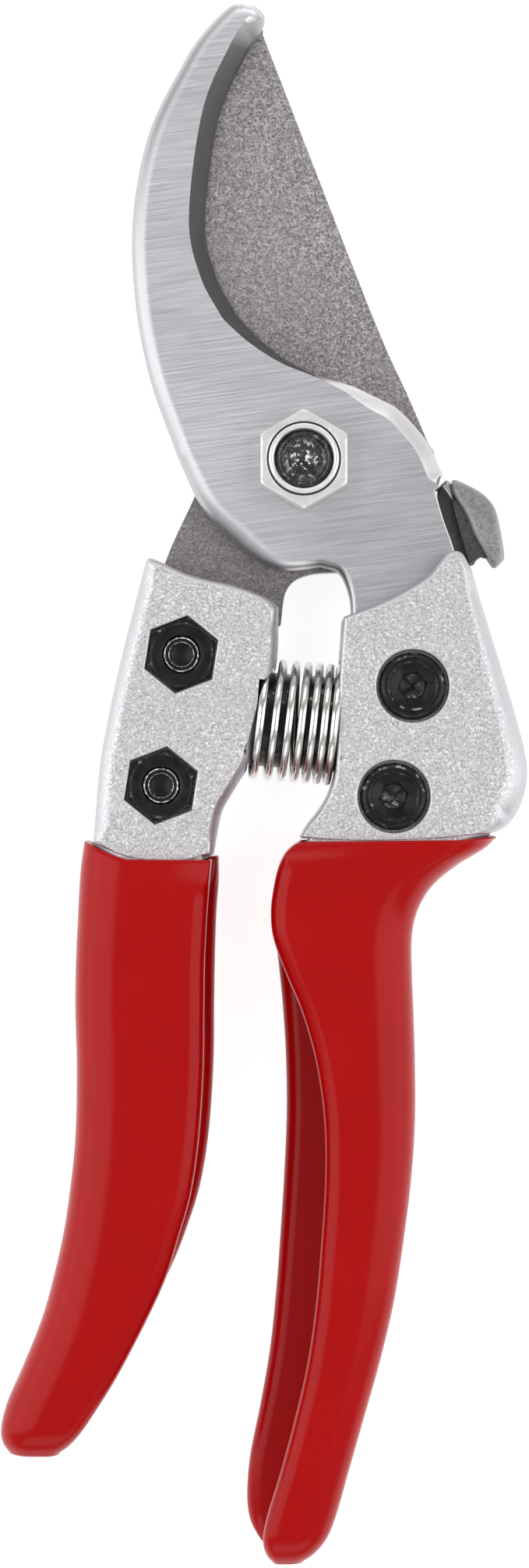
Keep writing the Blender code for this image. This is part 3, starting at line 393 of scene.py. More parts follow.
def polishedSteel():
    look, tint = polishedLook, polishedLook["tint"]
    n = Nodes("polishedSteel")
    lines = n.noise(n.stretched(look["lines"], look["lineTurnDeg"]), 1.0, 6.0, 0.68)
    scratches = n.noise(n.stretched(look["scratches"], look["scratchTurnDeg"]), 1.0, 3.0, 0.7)
    clouds = n.noise(n.stretched(look["clouds"], look["lineTurnDeg"]), 1.0, 4.0)
    tone = n.ramp(lines, (0.28, grey(look["face"] - look["lineContrast"], tint)),
                  (0.72, grey(look["face"] + look["lineContrast"], tint)))
    tone = n.mix(n.span(scratches, 0.62, 0.80, 0.0, 0.35), tone, grey(look["scratchLight"], tint))
    tone = n.mix(n.span(scratches, 0.36, 0.22, 0.0, 0.30), tone, grey(look["scratchDark"], tint))
    tone = n.mix(n.span(clouds, 0.35, 0.65, 0.0, 0.30), tone, grey(look["cloudDark"], tint))
    # the plate darkens from the pivot towards its lower right corner
    shade = n.span(n.toward(look["shadeWay"]), -0.006, 0.014, 0.0, look["shade"])
    tone = n.mix(shade, tone, grey(look["shadeDark"], tint))
    # painted highlight on the right-hand edges, and painted shade on the edge round the gap above the spring
    bevel = n.mix(n.span(n.facing("X"), -0.25, 0.25, 0.0, 1.0), look["bevelLeft"], look["bevelRight"])
    gapEdge = n.times(n.span(n.facing("Y"), -0.10, -0.35, 0.0, 1.0),
                      n.span(n.toward((1.0, 0.0, 0.0)), 0.0, 0.002, 0.0, 0.8))
    bevel = n.mix(gapEdge, bevel, grey(look["gapShade"]))
    flat = n.span(n.upness(), 0.93, 0.995, 0.0, 1.0)
    colour = n.mix(flat, bevel, tone)
    # painted reflection: the mouth's sloping wall is painted dark and streaky, and lightens into the tip
    wall = n.times(n.span(n.facing("X"), 0.18, 0.30, 0.0, 1.0), n.span(n.facing("Z"), 0.74, 0.66, 0.0, 1.0),
                   n.span(n.toward((0.0, 1.0, 0.0)), 0.0578, 0.0535, 0.35, 1.0),
                   n.span(n.toward((-0.35, 0.94, 0.0)), 0.0086, 0.0100, 0.0, 1.0))
    ground = n.noise(n.stretched(look["ground"]), 1.0, 4.0)
    colour = n.mix(wall, colour, n.mix(n.between(ground, 0.0, 0.5), look["wall"], grey(look["wallLight"])))
    rough = n.add("ShaderNodeMix", {0: flat, 2: look["roughEdge"], 3: n.between(lines, *look["roughFace"])})
    return n.finish(colour, n.span(wall, 0.0, 1.0, 1.0, look["wallMetal"]), rough.outputs[0],
                    n.bump(lines, *look["bump"]))


coatedLook = {
    "dark": (0.055, 0.049, 0.048), "light": (0.70, 0.66, 0.665), "grain": 3500.0, "coarseShare": 0.45,
    "coarse": (0.17, 0.158, 0.155), "clouds": (0.36, 0.335, 0.335), "worn": 0.5, "darkerDown": (0.11, 0.10, 0.10),
    "metal": 0.55, "rough": (0.42, 0.62), "bump": (0.35, 0.00005),
}


def coatedSteel():
    look = coatedLook
    n = Nodes("coatedSteel")
    grain = n.noise(n.place, look["grain"], 2.0, 0.7)
    coarse = n.noise(n.place, look["grain"] * look["coarseShare"], 2.0)
    clouds = n.noise(n.stretched((1.0, 0.45, 1.0), 20), 120.0, 3.0)
    colour = n.ramp(grain, (0.30, look["dark"]), (0.72, look["light"]))
    colour = n.mix(n.span(coarse, 0.40, 0.65, 0.0, 0.5), colour, look["coarse"])
    colour = n.mix(n.span(clouds, 0.4, 0.7, 0.0, 0.25), colour, look["clouds"])
    colour = n.mix(n.span(n.upness(), 0.75, 0.35, 0.0, 0.55), colour, grey(look["worn"]))
    # the plate darkens from the pivot down into the handle
    darkerDown = n.span(n.toward((0.0, -1.0, 0.0)), -0.030, 0.024, 0.0, 0.55)
    colour = n.mix(darkerDown, colour, look["darkerDown"])
    return n.finish(colour, look["metal"], n.between(grain, *look["rough"]), n.bump(grain, *look["bump"]))


castLook = {
    "tint": (1.0, 0.972, 1.005), "edgeTint": (1.0, 0.975, 1.02), "dark": 0.36, "light": 0.90, "glint": 1.0,
    "pit": 0.36, "patch": 0.5, "edge": 0.54, "grain": 4400.0, "softShare": 0.75, "metal": 0.85,
    "rough": (0.36, 0.54), "bumpFace": 0.30, "bumpEdge": 0.06,
}


def castAluminium():
    look, tint = castLook, castLook["tint"]
    n = Nodes("castAluminium")
    cells = n.speckles(look["grain"])
    soft = n.noise(n.place, look["grain"] * look["softShare"], 3.0, 0.7)
    broad = n.noise(n.place, 160.0, 3.0)
    edge = n.span(n.upness(), 0.985, 0.86, 0.0, 0.9)
    colour = n.ramp(soft, (0.30, grey(look["dark"], tint)), (0.68, grey(look["light"], tint)))
    colour = n.mix(n.span(cells, 0.88, 1.0, 0.0, 0.9), colour, grey(look["glint"]))
    colour = n.mix(n.span(cells, 0.12, 0.0, 0.0, 0.35), colour, grey(look["pit"], tint))
    colour = n.mix(n.span(broad, 0.35, 0.65, 0.0, 0.14), colour, grey(look["patch"], tint))
    colour = n.mix(edge, colour, grey(look["edge"], look["edgeTint"]))
    # the grain is rubbed smooth along the edges
    strength = n.span(edge, 0.0, 0.9, look["bumpFace"], look["bumpEdge"])
    bump = n.bump(cells, strength, 0.00003, n.bump(soft, strength, 0.00005))
    return n.finish(colour, look["metal"], n.span(cells, 0.0, 1.0, *look["rough"]), bump)


vinylLook = {"colour": (0.385, 0.0016, 0.0022), "deep": (0.345, 0.0006, 0.0011), "rough": (0.19, 0.26),
             "shine": 0.17, "ripple": (0.05, 0.0002), "fine": (0.05, 0.00003)}


def redVinyl():
    look = vinylLook
    n = Nodes("redVinyl")
    clouds, ripple, fine = (n.noise(n.place, scale, 2.0) for scale in (70.0, 420.0, 2600.0))
    colour = n.mix(n.span(clouds, 0.35, 0.65, 0.0, 0.5), look["colour"], look["deep"])
    bump = n.bump(fine, *look["fine"], n.bump(ripple, *look["ripple"]))
    return n.finish(colour, 0.0, n.between(fine, *look["rough"]), bump, Specular_IOR_Level=look["shine"])


blackLook = {"dark": (0.006, 0.0056, 0.006), "light": (0.018, 0.017, 0.018), "edge": (0.070, 0.068, 0.071),
             "paintedHighlight": (0.42, 0.41, 0.42), "metal": 0.4, "rough": (0.20, 0.34), "shine": 0.35,
             "bump": (0.10, 0.00003)}


def blackSteel():
    look = blackLook
    n = Nodes("blackSteel")
    fine = n.noise(n.place, 2600.0, 3.0)
    patches = n.noise(n.place, 500.0, 3.0)
    flakes = n.noise(n.place, 900.0, 4.0, 0.7)
    colour = n.ramp(patches, (0.35, look["dark"]), (0.7, look["light"]))
    colour = n.mix(n.span(n.upness(), 0.95, 0.6, 0.0, 0.30), colour, look["edge"])
    # painted highlights: bright broken marks along the rounded edges, most of them on the sides that look up
    # the tool
    paintedHighlight = n.times(n.span(n.upness(), 0.97, 0.88, 0.0, 1.0), n.span(flakes, 0.56, 0.62, 0.0, 0.8),
                     n.span(n.facing("Y"), -0.1, 0.3, 0.25, 1.0))
    colour = n.mix(paintedHighlight, colour, look["paintedHighlight"])
    return n.finish(colour, look["metal"], n.between(fine, *look["rough"]), n.bump(fine, *look["bump"]),
                    Specular_IOR_Level=look["shine"])


platedLook = {"dark": grey(0.74, (0.985, 1.0, 0.985)), "light": grey(0.86, (0.99, 1.0, 0.99)), "grooveShade": 0.03,
              "grooveRadius": 0.00460, "grooveWidth": 0.00012, "metal": 0.6, "rough": (0.24, 0.36),
              "bump": (0.05, 0.00003)}


def platedSteel():
    look = platedLook
    n = Nodes("platedSteel")
    fine = n.noise(n.place, 3200.0, 4.0, 0.7)
    patches = n.noise(n.place, 420.0, 3.0)
    colour = n.ramp(patches, (0.3, look["dark"]), (0.7, look["light"]))
    # painted shade: a thin ring in the groove round the nut's collar is painted near black
    groove = n.add("ShaderNodeMath", {0: n.fromPivot(), 1: look["grooveRadius"], 2: look["grooveWidth"]},
                   operation="COMPARE")
    colour = n.mix(n.times(groove.outputs[0], 0.9), colour, grey(look["grooveShade"]))
    return n.finish(colour, look["metal"], n.between(fine, *look["rough"]), n.bump(fine, *look["bump"]))


wornEndLook = {"dark": 0.08, "light": 0.75, "metal": 0.8, "rough": (0.16, 0.34), "bump": (0.6, 0.0001)}


def wornEndSteel():
    # bare thread ends: bright burrs over dark steel
    look = wornEndLook
    n = Nodes("wornEndSteel")
    flakes = n.noise(n.place, 2300.0, 3.0, 0.7)
    fine = n.noise(n.place, 5200.0, 2.0)
    colour = n.ramp(flakes, (0.42, grey(look["dark"])), (0.62, grey(look["light"])))
    return n.finish(colour, look["metal"], n.between(fine, *look["rough"]), n.bump(flakes, *look["bump"]))


boltEndLook = {"dark": (0.016, 0.016, 0.017), "light": (0.060, 0.060, 0.064), "paintedGlint": 0.95,
               "metal": (0.75, 0.25), "rough": (0.12, 0.26), "bump": (0.9, 0.0005), "oil": 0.6,
               "oilRough": 0.06}


def boltEndSteel():
    # a dark lumpy end with painted glints: bright broken patches near its middle
    look = boltEndLook
    n = Nodes("boltEndSteel")
    lumps = n.noise(n.place, 700.0, 3.0, 0.6)
    flakes = n.noise(n.place, 1250.0, 4.0, 0.72)
    fine = n.noise(n.place, 2400.0, 3.0)
    bright = n.times(n.span(flakes, 0.55, 0.585, 0.0, 1.0), n.span(n.fromPivot(), 0.0026, 0.0012, 0.15, 1.0))
    colour = n.ramp(lumps, (0.40, look["dark"]), (0.62, look["light"]))
    colour = n.mix(bright, colour, grey(look["paintedGlint"]))
    return n.finish(colour, n.span(bright, 0.0, 1.0, *look["metal"]), n.between(fine, *look["rough"]),
                    n.bump(lumps, *look["bump"]), Coat_Weight=look["oil"], Coat_Roughness=look["oilRough"])


springLook = {"dark": (0.62, 0.61, 0.585), "light": (0.82, 0.81, 0.79), "rough": (0.13, 0.22),
              "bump": (0.05, 0.00002)}


def springSteel():
    look = springLook
    n = Nodes("springSteel")
    drawn = n.noise(n.place, 1800.0, 3.0)
    colour = n.ramp(drawn, (0.3, look["dark"]), (0.7, look["light"]))
    return n.finish(colour, 1.0, n.between(drawn, *look["rough"]), n.bump(drawn, *look["bump"]))


lockLook = {"dark": 0.20, "light": 0.42, "cloud": 0.15, "worn": 0.45, "metal": 0.8, "rough": (0.38, 0.55),
            "bump": (0.4, 0.00007), "recessShade": 0.28}


def castLockSteel(name, shade):
    look = lockLook
    n = Nodes(name)
    grain = n.noise(n.place, 2400.0, 4.0, 0.65)
    clouds = n.noise(n.place, 260.0, 3.0)
    colour = n.ramp(grain, (0.3, grey(look["dark"] * shade)), (0.7, grey(look["light"] * shade)))
    colour = n.mix(n.span(clouds, 0.4, 0.65, 0.0, 0.35), colour, grey(look["cloud"] * shade))
    colour = n.mix(n.span(n.upness(), 0.97, 0.7, 0.0, 0.5), colour, grey(look["worn"] * shade))
    return n.finish(colour, look["metal"], n.between(grain, *look["rough"]), n.bump(grain, *look["bump"]))


steel, coat, cast, vinyl = polishedSteel(), coatedSteel(), castAluminium(), redVinyl()
black, plated, wornEnd, boltEnd = blackSteel(), platedSteel(), wornEndSteel(), boltEndSteel()
wire = springSteel()
lockMetal = castLockSteel("castLockSteel", 1.0)
# painted shade: a darker copy of the lock's metal for its web and rib
lockShaded = castLockSteel("castLockShaded", lockLook["recessShade"])
print("materials made")


def faceArrays(piece):
    # every face's middle in millimetres and its outward direction
    count = len(piece.data.polygons)
    middles, facing = np.empty(count * 3), np.empty(count * 3)
    piece.data.polygons.foreach_get("center", middles)
    piece.data.polygons.foreach_get("normal", facing)
    return middles.reshape(-1, 3) / mm, facing.reshape(-1, 3)


def secondFinish(piece, material, chosen):
    # the chosen faces take a second material
    piece.data.materials.append(material)
    which = np.empty(len(piece.data.polygons), np.int32)
    piece.data.polygons.foreach_get("material_index", which)
    which[chosen] = len(piece.data.materials) - 1
    piece.data.polygons.foreach_set("material_index", which)


# Heights and places come from the frame.

def span(node):
    low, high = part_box(node)
    return np.array(low) / mm, np.array(high) / mm


def middle(node):
    low, high = span(node)
    return 0.5 * (low + high)


def heights(node):
    low, high = span(node)
    return low[2], high[2]


holes = {"pivot": 3.9, "pivotSides": 64, "screw": 2.6, "screwSides": 48}
fastening = {"right": {"body": "hook_side", "headUp": True, "nutTurnDeg": 30},
             "left": {"body": "blade_side", "headUp": False, "nutTurnDeg": 81}}


def plateHoles(side, zLow, zHigh):
    # upright cylinders for the pivot and for one side's two screws
    tools = [prism("pivotTool", circleLoop((0, 0), holes["pivot"], holes["pivotSides"]), zLow - 1, zHigh + 1)]
    for place in ("upper", "lower"):
        loop = circleLoop(middle(f"{side}_{place}_screw")[:2], holes["screw"], holes["screwSides"])
        tools.append(prism("screwTool", loop, zLow - 1, zHigh + 1))
    return tools


# Hook: the polished plate, with its ground edges and its tang.

hook = {
    "outer": [(-7.7, 59.2), (-9.6, 58.7), (-12.9, 55.4), (-15.5, 51.5), (-19.8, 42.8), (-21.9, 32.5),
              (-21.8, 22.1), (-19.9, 11.3), (-16.1, 0.6)],
    "belly": [(-16.1, 0.6), (-12.8, -6.1), (-7.7, -11.2)],
    "heel": [(-7.7, -11.2), (-5.2, -12.9), (-2.3, -13.8), (2.2, -13.3)],
    "gap": [(2.2, -13.3), (4.6, -14.1), (5.9, -17.0), (6.2, -20.5)],
    "tang": [(6.2, -20.5), (7.9, -26.5), (7.2, -34.0), (6.3, -42.5), (9.5, -47.0), (14.0, -46.5),
             (16.6, -41.0), (19.2, -29.0), (20.4, -17.0)],
    "right": [(20.4, -17.0), (19.4, -11.6), (17.9, -7.2), (16.9, -3.7)],
    "nose": [(16.9, -3.7), (17.7, -3.1), (18.5, -2.4)],
    "shoulder": [(18.5, -2.4), (17.7, -1.0), (16.0, 2.6), (12.4, 6.7), (9.4, 8.4)],
    "brow": [(9.4, 8.4), (6.6, 9.7), (4.2, 10.5), (1.4, 11.3)],
    "throat": [(1.4, 11.3), (-2.4, 13.4), (-6.0, 16.4), (-8.8, 19.6)],
    "inner": [(-8.8, 19.6), (-11.4, 24.6), (-12.7, 31.6), (-11.0, 44.6), (-7.7, 52.4), (-5.5, 56.0)],
    "tip": [(-5.5, 56.0), (-4.95, 57.4), (-6.0, 58.7), (-7.7, 59.2)],
    "outerRound": 1.9, "bellyRound": 2.5, "heelRound": 1.1, "gapRound": 0.6, "plainRound": 0.2,
    "shoulderSlope": 1.95, "shoulderShare": 0.7, "shoulderRound": 0.15, "browEnd": (0.3, 0.8),
    "throatStart": (0.3, 1.0), "innerSlope": 2.0, "tipEdge": (1.9, 1.7, 1.0), "landHeight": 0.9,
    "tangHeight": 2.9, "blendOver": 4,
    "rebate": [(1.0, -23.6), (9.5, -20.6), (14.8, -18.6), (18.4, -14.8), (24.0, -14.8), (24.0, -60.0),
               (1.0, -60.0)],
}


def makeHook():
    h = hook
    zLow, zHigh = heights("counter_blade")
    outer, belly = h["outerRound"], (h["outerRound"], h["bellyRound"])
    heel, gap = (h["bellyRound"], h["heelRound"]), (h["heelRound"], h["gapRound"])
    plain, bevel = (h["plainRound"], h["plainRound"], 1.0), h["shoulderSlope"]
    bevelDepth, slopeDepth = bevel * h["shoulderShare"], zHigh - zLow - h["landHeight"]
    (browWidth, browDepth), (throatWidth, throatDepth) = h["browEnd"], h["throatStart"]
    # width, depth and roundness of the edge along each run of the outline
    edges = {
        "outer": (outer, outer, 1.0), "belly": (belly, belly, 1.0), "heel": (heel, heel, 1.0),
        "gap": (gap, gap, 1.0), "tang": plain, "right": plain, "nose": plain,
        "shoulder": (bevel, bevelDepth, h["shoulderRound"]),
        "brow": ((bevel, browWidth), (bevelDepth, browDepth), h["shoulderRound"]),
        "throat": ((throatWidth, h["innerSlope"]), (throatDepth, slopeDepth), 0.0),
        "inner": (h["innerSlope"], slopeDepth, 0.0), "tip": h["tipEdge"],
    }
    loop, edges = edgedLoop([(h[run], *edge) for run, edge in edges.items()], blendOver=h["blendOver"])
    piece = meshFromRings("hookPlate", edgeRings(loop, edges, zLow, zHigh))
    rebate = prism("rebateTool", np.array(h["rebate"]), zLow + h["tangHeight"], zHigh + 1)
    combine(piece, [rebate] + plateHoles("right", zLow, zHigh))
    finished(piece, steel, "hook_side", "counter_blade")


# Cutting blade: the coated plate, ground from below along its edge.

blade = {
    "spine": [(-5.1, 55.6), (5.1, 29.3), (10.5, 15.8), (13.5, 9.3), (16.2, 3.0)],
    "heel": [(15.0, -8.4), (11.5, -12.2), (6.5, -13.6), (0.7, -14.1), (-2.1, -16.0), (-2.9, -20.6)],
    "tang": [(-2.9, -20.6), (-8.3, -26.0), (-10.6, -33.0), (-13.0, -43.0), (-17.5, -47.2), (-22.4, -44.5),
             (-22.2, -36.0), (-20.0, -22.0), (-18.0, -12.9), (-14.1, -4.1)],
    "edge": [(-14.1, -4.1), (-13.8, 4.0), (-16.6, 15.0), (-17.2, 27.0), (-15.4, 38.0), (-11.6, 47.0),
             (-5.9, 56.2), (-5.1, 55.6)],
    "shoulderRadius": 17.1, "shoulderDeg": (6.0, 2.0, -2.0, -6.0, -9.0), "rampDeg": (-12.5, -16.5),
    "rampDrop": (0.3, 0.75), "notchDeg": (-19.8, -24.8), "notchFloor": 16.05,
    "bevelWidth": 3.4, "bevelShare": 0.35, "edgeLand": 0.3, "plainEdge": 0.15, "thinnest": 0.02,
    "topRound": (0.08, 0.1), "averageOver": 6,
}


def bladeShoulder():
    # a circle round the pivot with a notch: square on its lower side and a slow ramp on its upper one
    b = blade
    full, floor = b["shoulderRadius"], b["notchFloor"]
    angle = np.radians([*b["shoulderDeg"], *b["rampDeg"], *b["notchDeg"], b["notchDeg"][1]])
    ramp = [full - drop for drop in b["rampDrop"]]
    reach = np.array([full] * len(b["shoulderDeg"]) + ramp + [floor, floor, full])
    return np.column_stack([reach * np.cos(angle), reach * np.sin(angle)]).tolist()


def makeBlade():
    b = blade
    zLow, zHigh = heights("cutting_blade")
    shoulder = bladeShoulder()
    parts = joined([b["spine"], [b["spine"][-1], shoulder[0]], shoulder[:8], shoulder[7:9], shoulder[8:10],
                    [shoulder[-1], b["heel"][0]], b["heel"], b["tang"], b["edge"]])
    onEdge = np.concatenate([np.full(len(part), k == len(parts) - 1) for k, part in enumerate(parts)])
    loop, onEdge = anticlockwise(np.vstack(parts), onEdge)
    # the ground bevel narrows towards the tip, and steps up from the plain edge over a few points
    toTip = b["bevelShare"] * np.linalg.norm(loop - np.array(b["spine"][0]), axis=1)
    ground = averaged(np.where(onEdge, np.minimum(b["bevelWidth"], toTip), b["plainEdge"]), b["averageOver"])
    ground = np.minimum(ground, np.maximum(toTip, b["thinnest"]))
    step = averaged(np.where(onEdge, zHigh - b["edgeLand"], zLow + b["plainEdge"]), b["averageOver"])
    normals = inwardNormals(loop)
    across, below = b["topRound"]
    rings = [untangled(level(loop + normals * ground[:, None], zLow)), level(loop, step),
             level(loop, zHigh - below), untangled(level(loop + normals * across, zHigh))]
    piece = meshFromRings("bladePlate", rings)
    combine(piece, plateHoles("left", zLow, zHigh))
    finished(piece, coat, "blade_side", "cutting_blade", sharpDeg=25)


# Handles: sections of the cast channel and of the dipped grip. A station is (y, palm, front tip, rear tip).

handle = {
    "flange": 4.2, "flangeShare": 0.36, "web": 4.8, "webShare": 0.5, "corner": 5.6,
    "cornerShare": (0.45, 0.4), "leastCorner": 0.2, "fillet": 1.2, "leastChannel": 1.0, "endRound": 4.6,
    "lipShare": 0.45,
    "channelFade": (1.5, 8.0), "stationSteps": 12, "ringSpacing": 0.55, "arcSteps": 12, "filletSteps": 6,
    "skin": 0.7, "coreInset": 1.05, "coreShort": 3.6, "cavityShort": 2.6,
    "rimRounds": ((0.60, 0.02), (0.45, -0.08), (0.25, -0.08), (0.10, 0.02)), "rimDrop": 0.14,
    "capRings": 4, "capDeg": (0, 15, 30, 45, 58, 70, 80),
}
rightGrip = {
    "stations": [(-48.9, 24.9, -0.9, -0.5), (-50.2, 23.3, -2.3, -1.9), (-52.0, 19.8, -3.2, -2.8),
                 (-54.4, 16.7, -3.8, -3.4), (-57.4, 14.8, -4.2, -3.8), (-60.9, 14.0, -3.9, -3.6),
                 (-65.4, 14.0, -2.3, -3.1), (-70.5, 14.2, -0.2, -2.6), (-77.0, 14.4, 1.6, -2.2),
                 (-84.4, 14.4, 2.6, -2.1), (-92.0, 13.9, 2.7, -2.4), (-100.0, 12.9, 2.2, -2.9),
                 (-108.0, 11.6, 1.5, -3.5), (-115.5, 9.8, 0.4, -4.3), (-122.5, 7.8, -1.2, -5.5),
                 (-129.5, 5.8, -3.1, -6.9), (-134.5, 4.4, -4.6, -7.3), (-137.6, 3.2, -5.2, -7.0),
                 (-139.6, 1.7, -4.9, -6.0), (-140.9, 0.0, -4.1, -4.7), (-141.5, -1.4, -3.2, -3.4)],
    "coreTop": [(-44.4, 26.3, 3.0, 3.0), (-46.6, 25.8, 1.0, 1.0)],
    "side": 1, "rim": (0.003, 8.0), "body": "hook_side",
}
leftGrip = {
    "stations": [(-51.7, 28.2, 11.7, 11.0), (-54.6, 28.7, 12.0, 11.0), (-58.0, 29.0, 12.3, 11.3),
                 (-63.6, 29.3, 12.6, 11.5), (-70.0, 29.4, 12.7, 11.6), (-78.0, 29.2, 12.8, 11.7),
                 (-86.8, 29.4, 13.4, 12.3), (-93.7, 30.1, 14.4, 13.4), (-99.0, 30.9, 15.9, 15.0),
                 (-104.4, 32.1, 17.6, 17.1), (-110.1, 33.7, 20.2, 20.0), (-116.6, 36.3, 23.6, 23.5),
                 (-121.0, 38.2, 26.3, 26.2), (-124.5, 38.9, 28.7, 28.6), (-126.6, 38.2, 30.7, 30.6),
                 (-127.8, 36.6, 33.0, 33.0)],
    "coreTop": [(-44.4, 27.0, 13.3, 13.0), (-48.4, 27.6, 12.0, 11.6)],
    "side": -1, "rim": (0.0266, -17.3), "body": "blade_side",
}


def handleSections(grip, inset, stations, gripLow, gripHigh):
    # each section is a C: two flanges with round tips, a web with round corners and a filleted channel;
    # every size is an array with one entry per ring, so that all rings are worked out at once
    h = handle
    curve = smoothRun(stations, h["stationSteps"])
    along = np.concatenate([[0], np.cumsum(np.linalg.norm(np.diff(curve[:, :2], axis=0), axis=1))])
    at = np.linspace(0, along[-1], int(along[-1] / h["ringSpacing"]) + 1)
    y, palm, front, rear = (np.interp(at, along, column) for column in curve.T)
    rimY, endY = grip["stations"][0][0], grip["stations"][-1][0]
    # the thickness closes in a quarter circle towards the end, and the channel fades in from the rim
    nearEnd = np.clip(1 - (y - endY) / h["endRound"], 0, 1)
    shrink = h["endRound"] * (1 - np.sqrt(1 - nearEnd**2))
    fadeFrom, fadeTo = h["channelFade"]
    opening = np.clip((rimY - y - fadeFrom) / (fadeTo - fadeFrom), 0, 1)
    opening = opening**2 * (3 - 2 * opening)
    low, high = gripLow + shrink, gripHigh - shrink
    tip = np.maximum(front, rear)
    width = palm - tip
    flange = np.minimum(h["flange"], h["flangeShare"] * (high - low))
    web = np.minimum(h["web"], h["webShare"] * width)
    shallow = np.minimum(h["leastChannel"], width - web)
    depth = shallow + opening * (width - web - shallow)
    ofWidth, ofHeight = h["cornerShare"]
    corner = np.minimum(np.minimum(h["corner"], ofWidth * width), ofHeight * (high - low))
    corner = np.maximum(corner - inset, h["leastCorner"])
    floor = tip + depth + inset
    flange = flange - 2 * inset
    lip = np.minimum(0.5 * flange, h["lipShare"] * depth)
    fillet = np.minimum(h["fillet"] + inset, 0.5 * depth)
    palm, front, rear, low, high = palm - inset, front + inset, rear + inset, low + inset, high - inset

    def arc(acrossAt, heightAt, acrossRadius, heightRadius, startDeg, endDeg, steps=h["arcSteps"]):
        angle = np.radians(np.linspace(startDeg, endDeg, steps + 1))
        return np.stack([acrossAt[:, None] + acrossRadius[:, None] * np.cos(angle),
                         heightAt[:, None] + heightRadius[:, None] * np.sin(angle)], -1)

    section = np.concatenate([
        arc(front + lip, high - 0.5 * flange, lip, 0.5 * flange, 270, 90),
        arc(palm - corner, high - corner, corner, corner, 90, 0),
        arc(palm - corner, low + corner, corner, corner, 0, -90),
        arc(rear + lip, low + 0.5 * flange, lip, 0.5 * flange, 270, 90),
        arc(floor - fillet, low + flange + fillet, fillet, fillet, -90, 0, h["filletSteps"]),
        arc(floor - fillet, high - flange - fillet, fillet, fillet, 0, 90, h["filletSteps"])], axis=1)
    # near the rim every ring bows along the tool by bend * (x - centre)^2
    x = grip["side"] * section[..., 0]
    bend, centre = grip["rim"]
    rise = np.where(y <= rimY, np.clip(1 - (rimY - y) / fadeTo, 0, 1), 1.0)
    return np.stack([x, y[:, None] + rise[:, None] * bend * (x - centre)**2, section[..., 1]], -1)


def makeGrip(name, node, grip):
    # one skin: up the cavity, round the rim and down the outside to a closed cap
    h = handle
    zLow, zHigh = heights(node)
    outer = handleSections(grip, 0.0, grip["stations"], zLow, zHigh)
    cavity = handleSections(grip, h["skin"], grip["stations"], zLow, zHigh)
    endY = grip["stations"][-1][0]
    cavity = cavity[cavity[:, 0, 1] > endY + h["cavityShort"]]
    rounds = []
    for inset, drop in h["rimRounds"]:
        ring = handleSections(grip, inset, grip["stations"], zLow, zHigh)[0]
        ring[:, 1] -= drop
        rounds.append(ring)
    outer[0, :, 1] -= h["rimDrop"]
    cavity[0, :, 1] -= h["rimDrop"]
    # the end is a quarter ellipse carried on from the fourth ring before it
    base = outer[-h["capRings"]]
    centre = base.mean(0)
    turn = np.radians(h["capDeg"])[:, None, None]
    cap = centre + (base - centre) * np.cos(turn) + [0, 1, 0] * np.sin(turn) * (endY - centre[1])
    piece = meshFromRings(name, np.concatenate([cavity[::-1], rounds, outer[:-h["capRings"]], cap]))
    finished(piece, vinyl, grip["body"], node, sharpDeg=60, weighted=False)


# Cast heads of the handles, each one solid with the core inside its grip.

rightHead = {
    "top": [(5.1, -20.0), (10.7, -17.8), (15.5, -15.0), (17.8, -12.3), (18.9, -11.6), (20.1, -11.8),
            (20.9, -12.9), (21.5, -14.0)],
    "palm": [(21.5, -14.0), (24.2, -22.7), (27.6, -34.0), (28.7, -39.7), (27.9, -43.8), (26.3, -46.4),
             (24.4, -47.5)],
    "bottom": [(24.4, -47.5), (16.0, -48.3), (8.0, -48.6), (-0.4, -48.2)],
    "inner": [(-0.4, -48.2), (0.6, -46.5), (2.0, -44.7), (3.3, -42.4), (4.1, -39.4), (4.3, -34.0),
              (4.6, -27.0), (5.1, -20.0)],
    "edges": {"top": (0.7, 0.7, 1.0), "palm": ((1.5, 3.4), (2.2, 2.8), 0.8), "bottom": (0.2, 0.2, 1.0),
              "inner": (0.5, 0.5, 1.0)},
    "tangFrom": [(6.2, -19.0)], "tangTo": [(20.4, -14.0)],
    "plateRoom": [(-2.0, -23.9), (9.5, -20.9), (14.8, -18.9), (18.4, -15.1), (32.0, -15.1), (32.0, 0.0),
                  (-2.0, 0.0)],
    "lockRoom": [(8.0, -17.8), (32.0, -17.8), (32.0, 0.0), (8.0, 0.0)],
}
leftHead = {
    "top": [(-20.2, -12.9), (-19.3, -12.5), (-14.6, -14.6), (-8.5, -16.1), (-4.6, -17.6), (-3.2, -18.8)],
    "inner": [(-3.2, -18.8), (-3.4, -25.5), (-4.9, -31.2), (-6.8, -38.2), (-8.3, -41.0), (-10.4, -44.6),
              (-11.1, -47.5), (-11.6, -50.4)],
    "bottom": [(-11.6, -50.4), (-17.3, -51.3), (-22.5, -50.6), (-26.9, -48.8)],
    "palm": [(-26.9, -48.8), (-26.2, -39.7), (-25.2, -33.7), (-23.9, -27.5), (-22.2, -20.5), (-20.2, -12.9)],
    "edges": {"top": (0.9, 0.9, 1.0), "inner": (1.0, 2.4, 0.5), "bottom": (0.2, 0.2, 1.0),
              "palm": (1.9, 2.2, 1.0)},
    "tangFrom": [(-2.0, -17.0)], "tangTo": [(-15.5, -7.0)],
}
pocket = {
    "headRadius": 4.6, "headSides": 72, "headDepth": 2.6, "nutCornerRadius": 4.98, "clearance": 0.3,
    "lip": 0.35, "lipSteps": 6, "roomSpacing": 0.8, "lockGap": 0.1,
    "seatRadius": 8.4, "seatReach": 6.0, "seatSides": 56, "skin": 1.6, "skinFrom": 1.15,
    "spigotRadius": 6.1, "spigotLength": 5.7, "spigotRoot": 3.0, "spigotRound": (0.8, 0.25),
    "blackMargin": (0.1, 0.2), "blackFrom": -0.92, "floorShadeTo": -0.6,
}


